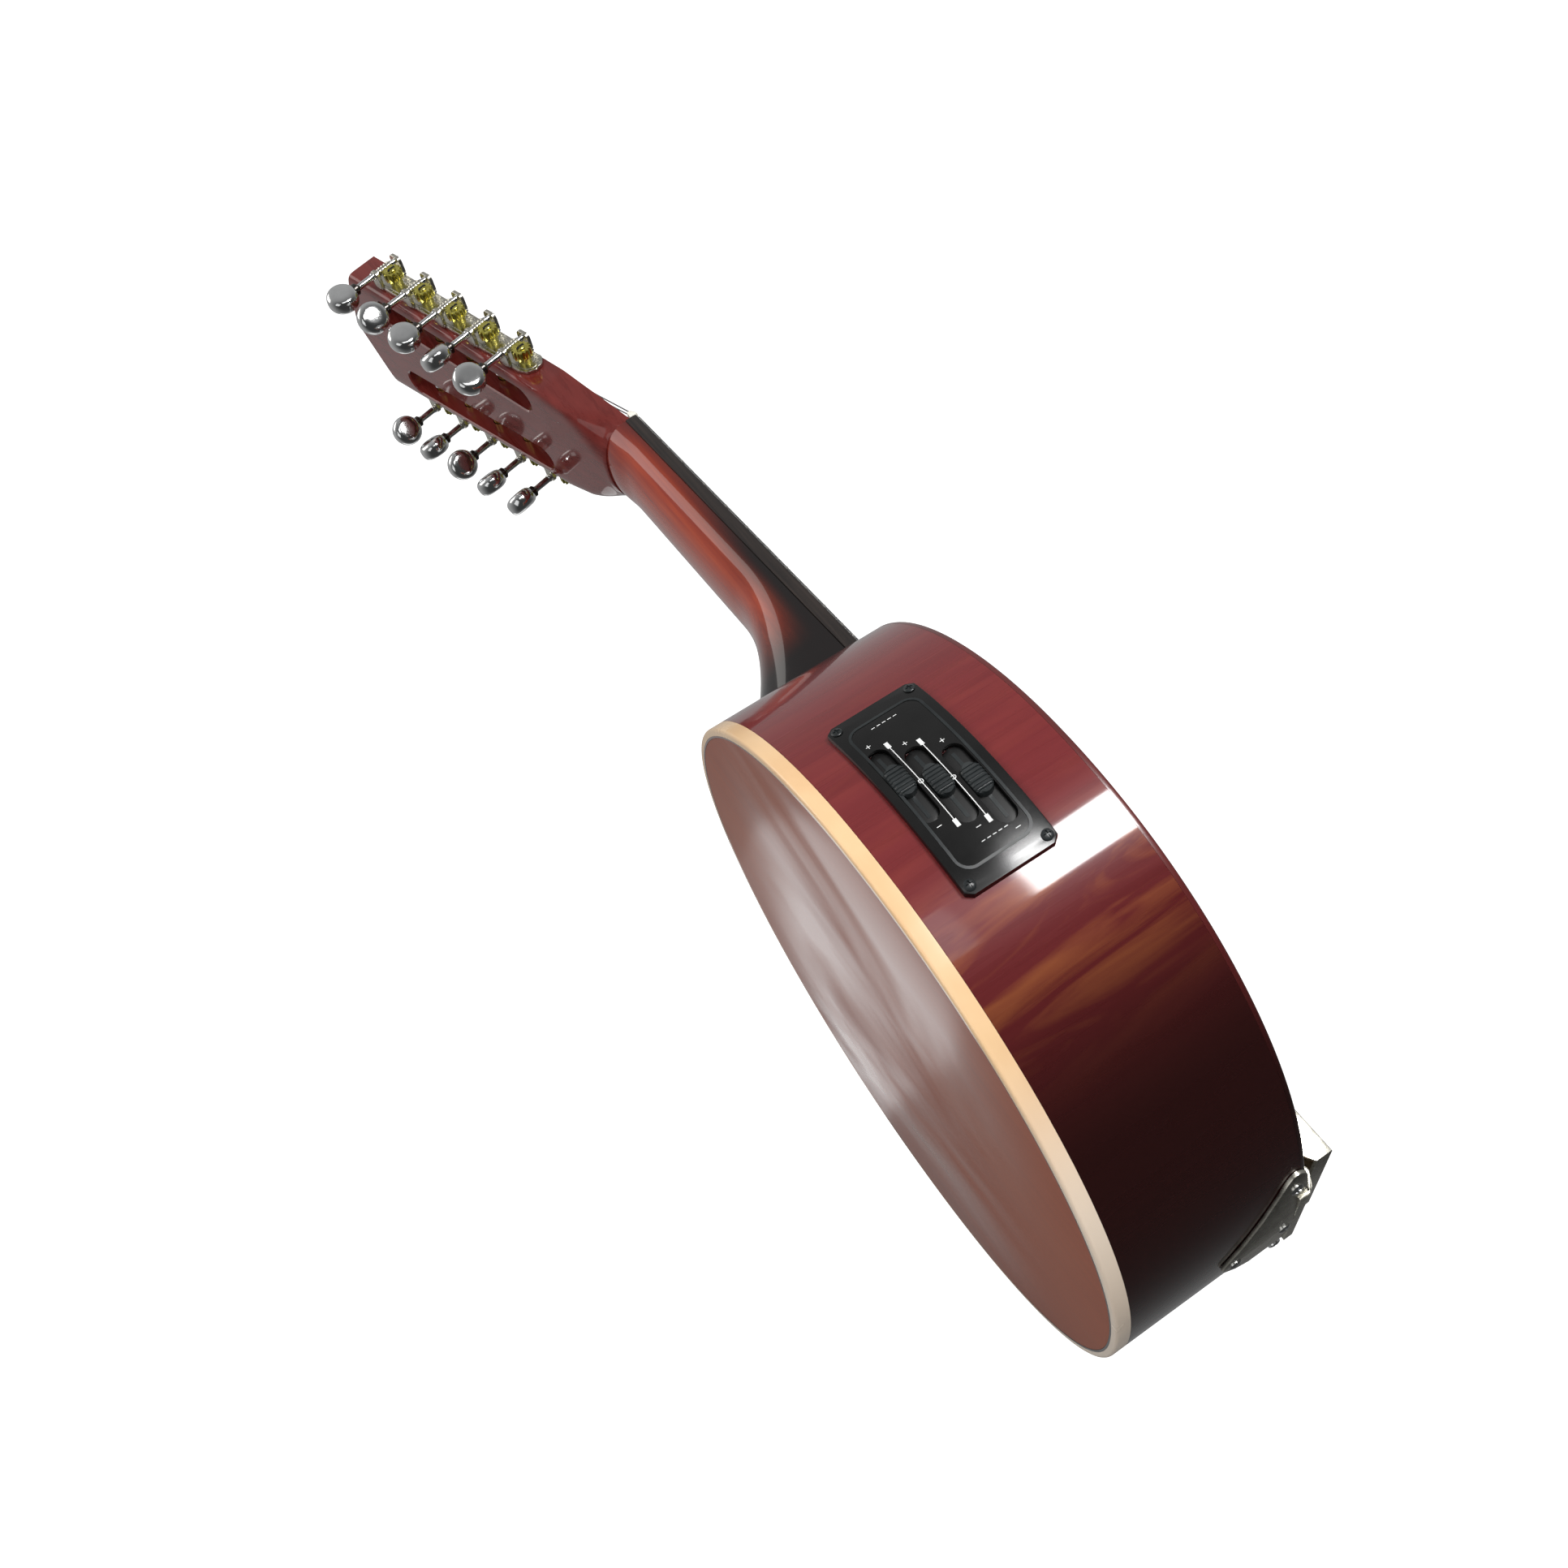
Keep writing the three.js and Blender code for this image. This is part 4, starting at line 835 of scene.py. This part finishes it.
def build_roller(label, side, i):
    at = roller_at(i)
    body = f"roller_{label}_{i + 1}"

    def axle(u, v, h):
        return row_point(side, h, GEAR_DEPTH + u, at + v)

    inner = -(SLOT_WALL + SLOT_WIDTH + ROLLER_SEAT)
    shells = [spun([(0, inner), (ROLLER_RADIUS - 0.3, inner), (ROLLER_RADIUS, inner + 0.3),
                    (ROLLER_RADIUS, 5.4), (ROLLER_RADIUS - 0.3, 5.6), (0, 5.6)], axle, 28)]
    teeth, root = 14, 3.95
    loops = []
    for h, sink in ((5.7, 0.5), (6.1, 0.0), (10.2, 0.0), (10.6, 0.5)):
        loop = []
        for a in around(teeth * 8):
            tooth = clamp(0.5 + 1.3 * math.cos(teeth * a))
            r = root + (GEAR_RADIUS - root) * tooth - sink * 0.6
            loop.append(axle(r * math.cos(a), r * math.sin(a), h))
        loops.append(loop)
    shells.append(loft(loops))
    piece(f"gear_{label}_{i + 1}", shells, "brass", BRASS, body=body,
          replaces=[f"string_roller_{label}_{i + 1}"], sharp=30)

    # Slotted screw that holds the gear.
    rows = []
    for r, h in ((0.01, 11.7), (0.5, 11.7), (1.0, 11.65), (1.5, 11.5), (1.95, 11.2), (2.25, 10.8),
                 (2.3, 10.5)):
        loop = []
        for a in around(40):
            u, v = r * math.cos(a), r * math.sin(a)
            cut = 0.6 if abs(v) < 0.5 else 0.0
            loop.append(axle(u, v, h - cut if h > 10.6 else h))
        rows.append(loop)
    rows.append([axle(2.2 * math.cos(a), 2.2 * math.sin(a), 10.4) for a in around(40)])
    piece(f"gear_screw_{label}_{i + 1}", [loft(rows)], "brass", BRASS, body=body, sharp=28)
    # Painted shade: a black insert in the screw's slot stands in for the shade inside it.
    groove = rounded(-2.1, 2.1, -0.55, 0.55, 0.3, 3)
    piece(f"gear_slot_{label}_{i + 1}", [prism(groove, axle, 10.9, 11.55)], "black_plastic",
          SLOT_FLOOR_BLACK_AND_SHADE, body=body)

    # The string meets the roller on its face side (d less than the axis).
    lane, r = string_lane(TUNERS - 1 - i), ROLLER_RADIUS + STRING_RADIUS
    turns, wrap_pitch, steps, path = 2.6, 0.74, 65, []
    for k in range(steps + 1):
        a = 2 * math.pi * turns * k / steps
        path.append(axle(-r * math.cos(a), r * math.sin(a), lane - wrap_pitch * turns * k / steps))
    piece(f"string_wraps_{label}_{i + 1}", [tube(path, STRING_RADIUS)], "string_steel", STEEL,
          body=body)


def build_tuners():
    for label, side in SIDES.items():
        build_plate(label, side)
        for i in range(TUNERS):
            build_knob(label, side, i)
            build_roller(label, side, i)


# ---------------------------------------------------------------- strings

def string_x(i, spacing):
    """Outermost string first; each side has two courses and one string of the middle course."""
    return (2, 2, 1, 1, 0)[i] * spacing + (0.5, -0.5, 0.5, -0.5, 0.5)[i] * COURSE_GAP


def build_strings():
    nut_y = -(BODY_DEPTH + BOARD_TOP_AT_NUT + 1.35)
    joint_y = -(BODY_DEPTH + BOARD_TOP_AT_BODY + 2.2)
    slope = (nut_y - joint_y) / NECK_LENGTH
    saddle_y = joint_y - slope * (BODY_LENGTH - SADDLE_Z)
    hook_y = -(BODY_DEPTH + 3.4 + 1.2 + 1.2)
    for label, side in SIDES.items():
        for i in range(TUNERS):
            corners = [
                (side * string_x(i, SPACING["tail"]), hook_y, HOOK_Z),
                (side * string_x(i, SPACING["bridge"]), saddle_y, SADDLE_Z),
                (side * string_x(i, SPACING["nut"]), nut_y, NUT_Z + 1.4),
                row_point(side, string_lane(i), GEAR_DEPTH - ROLLER_RADIUS - STRING_RADIUS,
                          roller_at(TUNERS - 1 - i)),
            ]
            path = []
            count = 6
            for a, b in zip(corners, corners[1:]):
                path += [tuple(Vector(a).lerp(Vector(b), m / count)) for m in range(count)]
            path.append(corners[-1])
            piece(f"string_wire_{label}_{i + 1}", [tube(path, STRING_RADIUS)], "string_steel",
                  STEEL, replaces=[f"string_{label}_{i + 1}"])


# ---------------------------------------------------------------- preamp

def panel_place(u, v, h):
    """u mm from the panel's back edge, v mm from its head end, h above the rim's surface."""
    z = PANEL_Z + PANEL_LENGTH / 2 - v
    return -half_width(z, -h), -PANEL_DEPTH + PANEL_WIDTH / 2 - u, z


def refined(loop, cuts):
    """The polygon of (u, v) with each side in cuts(its run along v) parts."""
    fine = []
    for (u0, v0), (u1, v1) in zip(loop, loop[1:] + loop[:1]):
        count = cuts(abs(v1 - v0))
        fine += [(lerp(u0, u1, k / count), lerp(v0, v1, k / count)) for k in range(count)]
    return fine


def on_panel(loop, low, high):
    """A shell that follows the rim; loop is a polygon of (u, v), made fine along v."""
    return prism(refined(loop, lambda run: max(1, int(run / 3))), panel_place, low, high)


def strip(u, v, du, dv, low, high):
    """A bar centred on (u, v) that follows the rim along v."""
    count = max(1, round(dv / 2))
    return loft([[panel_place(u + a * du / 2, v + dv * (k / count - 0.5), h)
                  for a, h in ((-1, low), (-1, high), (1, high), (1, low))]
                 for k in range(count + 1)])


def curved_block(u0, u1, v0, v1, low, high, radius):
    """A plate with round corners that follows the rim, in strips along v."""
    strips = 44
    sections = []
    for k in range(strips + 1):
        v = lerp(v0, v1, k / strips)
        near = min(v - v0, v1 - v)
        inset = 0
        if near < radius:
            inset = radius - math.sqrt(max(radius**2 - (radius - near) ** 2, 0))
        a, b = u0 + inset, u1 - inset
        sections.append([panel_place(u, v, h) for u, h in
                         ((a, low), (a, high - 0.35), (a + 0.12, high - 0.1), (a + 0.4, high),
                          ((a + b) / 2, high), (b - 0.4, high), (b - 0.12, high - 0.1),
                          (b, high - 0.35), (b, low))])
    return loft(sections)


def screw_shell(place, radius, height):
    """A domed screw head with a cross recess."""
    rows = []
    angles = around(48)
    for m in range(13):
        t = m / 12
        r = radius * t
        h = height * math.sqrt(max(1 - 0.82 * t * t, 0))
        loop = []
        for a in angles:
            u, v = max(r, 0.002) * math.cos(a), max(r, 0.002) * math.sin(a)
            inside = min(abs(u), abs(v)) < radius * 0.13 and r < radius * 0.66
            loop.append(place(u, v, h - (height * 0.55 if inside else 0)))
        rows.append(loop)
    rows.append([place(radius * math.cos(a), radius * math.sin(a), -0.2) for a in angles])
    return loft(rows)


def slider_middle(i):
    """y of a slider's middle, from the CAD."""
    low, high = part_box(f"slider_{i + 1}")
    return ((low.y + high.y) / 2 - ORIGIN.y) * 1000


def build_panel(tracks):
    sheet = piece("preamp_panel",
                  [curved_block(0, PANEL_WIDTH, 0, PANEL_LENGTH, 0.15, PANEL_TOP, 2.2)],
                  "black_plastic", PANEL_BLACK, replaces=["preamp_faceplate"], sharp=40)
    half = TRACK_HALF
    carve(sheet, [on_panel(rounded(u - half, u + half, v, v + TRACK_LENGTH, half - 0.01, 10),
                           -1.5, 5) for u, v in tracks])
    for i, (u, v) in enumerate(tracks):
        piece(f"slot_floor_{i + 1}",
              [curved_block(u - half, u + half, v + 0.05, v + TRACK_LENGTH - 0.05, 0.05, 0.5,
                            half - 0.02)], "housing_plastic", SLOT_FLOOR_BLACK_AND_SHADE)
        piece(f"slot_guide_{i + 1}", [strip(u, v + TRACK_LENGTH / 2, 1.2, 26, 0.4, 0.6)],
              "housing_plastic", CAP_GREY)


def build_border():
    """A raised line round the panel's middle."""
    def lane(gap, radius):
        loop = rounded(gap, PANEL_WIDTH - gap, gap + 2.6, PANEL_LENGTH - gap - 2.6, radius, 8)
        return refined(loop, lambda run: 20 if run > 20 else 1)

    low, high = PANEL_TOP - 0.1, PANEL_TOP + 0.16
    sections = [[panel_place(a, b, low), panel_place(a, b, high), panel_place(c, d, high),
                 panel_place(c, d, low)] for (a, b), (c, d) in zip(lane(3.0, 5), lane(3.9, 4.1))]
    piece("panel_border", [loft(sections, closed=True)], "black_plastic", CAP_GREY)


def build_marks(tracks):
    """Generic scale marks: a line with a thick bar at each end and a ring in its middle."""
    marks = []

    def bar(u, v, du, dv):
        marks.append(strip(u, v, du, dv, PANEL_TOP - 0.1, PANEL_TOP + 0.06))

    low, high = PANEL_TOP - 0.05, PANEL_TOP + 0.05
    for u, v0, v1 in ((10.7, 17.2, 53.6), (18.6, 22.5, 57.5)):
        centre = (v0 + v1) / 2
        bar(u, centre, 0.28, v1 - v0)
        for v in (v0 + 1.2, v1 - 1.2):
            bar(u, v, 1.3, 2.6)
        hoop = [[panel_place(u + r * math.cos(a), centre + r * math.sin(a), h)
                 for r, h in ((0.55, low), (0.55, high), (0.8, high), (0.8, low))]
                for a in around(20)]
        marks.append(loft(hoop, closed=True))
    # A plus at the head end of each track and a minus at its other end.
    for u, v in tracks:
        bar(u, v - 2.4, 1.6, 0.24)
        bar(u, v - 2.4, 0.24, 1.6)
        bar(u, v + TRACK_LENGTH + 2.2, 1.6, 0.24)
    # Plain dashes where the real plate has lettering.
    for k in range(5):
        bar(19 - 1.9 * k, 9.5, 1.2, 0.3)
        bar(21 - 1.9 * k, 61, 1.2, 0.24)
    piece("panel_marks", marks, "bone", INK)


def build_cap(i):
    """A ribbed, dished slider cap with a stem that reaches into the housing."""
    low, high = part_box(f"slider_{i + 1}")
    x, y = low.x * 1000, slider_middle(i)
    z0, z1 = (low.z - ORIGIN.z) * 1000, (high.z - ORIGIN.z) * 1000
    radius = (high.y - low.y) * 500 - 0.05
    foot, rib_pitch, stations = x + 3.9, 1.28, 84
    sections = []
    for k in range(stations + 1):
        z = lerp(z0, z1, k / stations)
        near = min(z - z0, z1 - z)
        half = math.sqrt(max(radius**2 - max(radius - near, 0) ** 2, 0.0004))
        rib = 0.42 * clamp(0.5 + 1.6 * math.cos(2 * math.pi * (z - z0) / rib_pitch))
        dish = 0.35 * math.cos(math.pi * ((z - z0) / (z1 - z0) - 0.5))
        lift = rib if near > 1.4 else 0.0
        front = x + 0.5 + dish * 0.6 - lift + 0.25
        sections.append([(a, b, z) for a, b in
                         ((foot, y - half), (front + 0.5, y - half), (front, y - half * 0.78),
                          (front, y + half * 0.78), (front + 0.5, y + half), (foot, y + half))])
    middle = (z0 + z1) / 2
    near_end, far_end = x + 3.8, x + 11.2
    section = [(near_end, y - 0.8), (near_end, y + 0.8), (far_end, y + 0.8), (far_end, y - 0.8)]
    stem = loft([[(a, b, z) for a, b in section] for z in (middle - 2, middle + 2)])
    piece(f"slider_cap_{i + 1}", [loft(sections), stem], "slider_plastic", CAP_GREY,
          body=f"slider_body_{i + 1}", replaces=[f"slider_{i + 1}"], sharp=28)


def build_preamp():
    tracks = [(-PANEL_DEPTH + PANEL_WIDTH / 2 - slider_middle(i), TRACK_START + TRACK_STAGGER * i)
              for i in range(SLIDERS)]
    build_panel(tracks)
    build_border()
    build_marks(tracks)
    screws = []
    near = 2.7
    for u, v in ((near, near), (PANEL_WIDTH - near, near), (near, PANEL_LENGTH - near),
                 (PANEL_WIDTH - near, PANEL_LENGTH - near)):
        screws.append(screw_shell(
            lambda a, b, h, u=u, v=v: panel_place(u + a, v + b, PANEL_TOP + h), 1.75, 0.75))
    piece("panel_screws", screws, "black_plastic", CAP_GREY, sharp=30)
    for i in range(SLIDERS):
        build_cap(i)


# ---------------------------------------------------------------- tail

def build_tail():
    screws = []
    outset = -1.5
    for x, y in ((-28, -67), (0, -64.5), (28, -67), (0, -45)):
        z = end_z(x, False, outset)
        slope = end_z(x + 0.5, False, outset) - end_z(x - 0.5, False, outset)
        along = Vector((1, 0, slope)).normalized()
        out = Vector((along.z, 0, -along.x))

        def place(u, v, h, x=x, y=y, z=z, along=along, out=out):
            return tuple(Vector((x, y, z)) + along * u + Vector((0, v, 0)) + out * h)

        screws.append(screw_shell(place, 2.3, 1.1))
    piece("tailpiece_screws", screws, "nickel", CHROME, sharp=30)


build_body()
build_neck()
build_headstock()
build_tuners()
build_strings()
build_preamp()
build_tail()


# ---------------------------------------------------------------- floor, light and camera

low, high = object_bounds()
middle = (low + high) / 2
CAMERA_PLACE = Vector((-0.47949, 0.14151, -0.53096))
FLOOR_DROP, FLOOR_REACH = 1.3, 9
CARD_DISTANCE, CARD_REACH = 3.2, 6


def stage_plane(name, centre, across, up, reach, material):
    mesh = bpy.data.meshes.new(name)
    mesh.from_pydata([centre + across * a * reach + up * b * reach
                      for a, b in ((-1, -1), (1, -1), (1, 1), (-1, 1))], [], [(0, 1, 2, 3)])
    mesh.materials.append(material)
    plane = add_object(name, mesh)
    plane.visible_glossy = False
    return plane


def build_stage():
    look = Look("floor_pale", roughness=0.8)
    tone = look.noise((3, 3, 3), 3)
    look.colour(look.ramp(tone, [(0.3, (0.86, 0.86, 0.86)), (0.7, (0.9, 0.9, 0.9))]))
    stage_plane("floor", Vector((0, 0, low.z - FLOOR_DROP)), Vector((1, 0, 0)),
                Vector((0, 1, 0)), FLOOR_REACH, look.material)
    # A bright card far behind the instrument, seen by the camera alone.
    look = Look("backdrop_pale", roughness=0.9)
    tone = look.noise((0.6, 0.6, 0.6), 2)
    glow = look.ramp(tone, [(0.2, (0.955, 0.955, 0.955)), (0.8, (0.975, 0.975, 0.975))])
    look.colour(glow)
    look.link(glow, look.shader.inputs["Emission Color"])
    look.shader.inputs["Emission Strength"].default_value = 0.92
    away = (middle - CAMERA_PLACE).normalized()
    across = away.cross(Vector((0, 0, 1))).normalized()
    card = stage_plane("backdrop", middle + away * CARD_DISTANCE, across, across.cross(away),
                       CARD_REACH, look.material)
    card.visible_diffuse = False
    card.visible_shadow = False


def soft_light(name, direction, distance, width, height, power, colour=(1, 1, 1),
               upright=(0, 0, 1)):
    """An area lamp that shines on the instrument's middle, hidden from the camera."""
    data = bpy.data.lights.new(name, "AREA")
    data.shape, data.size, data.size_y = "RECTANGLE", width, height
    data.energy, data.color = power, colour
    lamp = add_object(name, data)
    aim = Vector(direction).normalized()
    lamp.location = middle + aim * distance
    lamp.rotation_mode = "QUATERNION"
    across = Vector(upright).cross(aim).normalized()
    top = aim.cross(across)
    lamp.rotation_quaternion = Matrix((across, top, aim)).transposed().to_quaternion()
    lamp.visible_camera = False
    return lamp


def build_lights():
    bpy.context.scene.view_settings.view_transform = "Standard"
    studio = bpy.data.worlds.new("studio")
    studio.use_nodes = True
    tree = studio.node_tree
    where = tree.nodes.new("ShaderNodeTexCoord").outputs["Generated"]
    parts = tree.nodes.new("ShaderNodeSeparateXYZ")
    tree.links.new(where, parts.inputs["Vector"])
    # The world is dim below and brighter above, so the lacquer has a gradient to reflect.
    rise = tree.nodes.new("ShaderNodeMapRange")
    rise.interpolation_type = "SMOOTHSTEP"
    rise.inputs["From Min"].default_value = -0.7
    rise.inputs["From Max"].default_value = 0.75
    rise.inputs["To Min"].default_value = 0.04
    rise.inputs["To Max"].default_value = 0.36
    tree.links.new(parts.outputs["Z"], rise.inputs["Value"])
    tree.links.new(rise.outputs["Result"], tree.nodes["Background"].inputs["Strength"])
    tree.nodes["Background"].inputs["Color"].default_value = (1, 1, 1, 1)
    bpy.context.scene.world = studio
    soft_light("side_window", (-0.95, -0.40, -0.25), 1.2, 0.26, 0.34, 9, upright=(0, 1, 0))
    soft_light("side_glow", (-0.90, 0.02, -0.27), 1.2, 0.30, 0.50, 0.7, upright=(0, 1, 0))
    soft_light("knob_glow", (-0.55, 0.75, -0.35), 1.7, 1.1, 0.8, 2.0)
    soft_light("back_glow", (0.9, 0.16, 0.36), 1.8, 1.3, 0.5, 1.5)
    fill = soft_light("fill", (-0.8, 0.55, -0.1), 2.0, 1.6, 1.6, 22, (1.0, 0.98, 0.95))
    fill.visible_glossy = False
    soft_light("key_overhead", (-0.35, 0.6, 0.8), 1.6, 0.9, 0.9, 4.5, (1.0, 0.97, 0.93))


def build_camera():
    data = bpy.data.cameras.new("camera")
    data.sensor_width, data.lens = 36.0, 33.894
    camera = add_object("camera", data)
    camera.location = CAMERA_PLACE
    camera.rotation_mode = "QUATERNION"
    camera.rotation_quaternion = Quaternion((0.161562, 0.741573, -0.465046, -0.455741))
    data.clip_start = 0.01
    bpy.context.scene.camera = camera


build_stage()
build_lights()
build_camera()
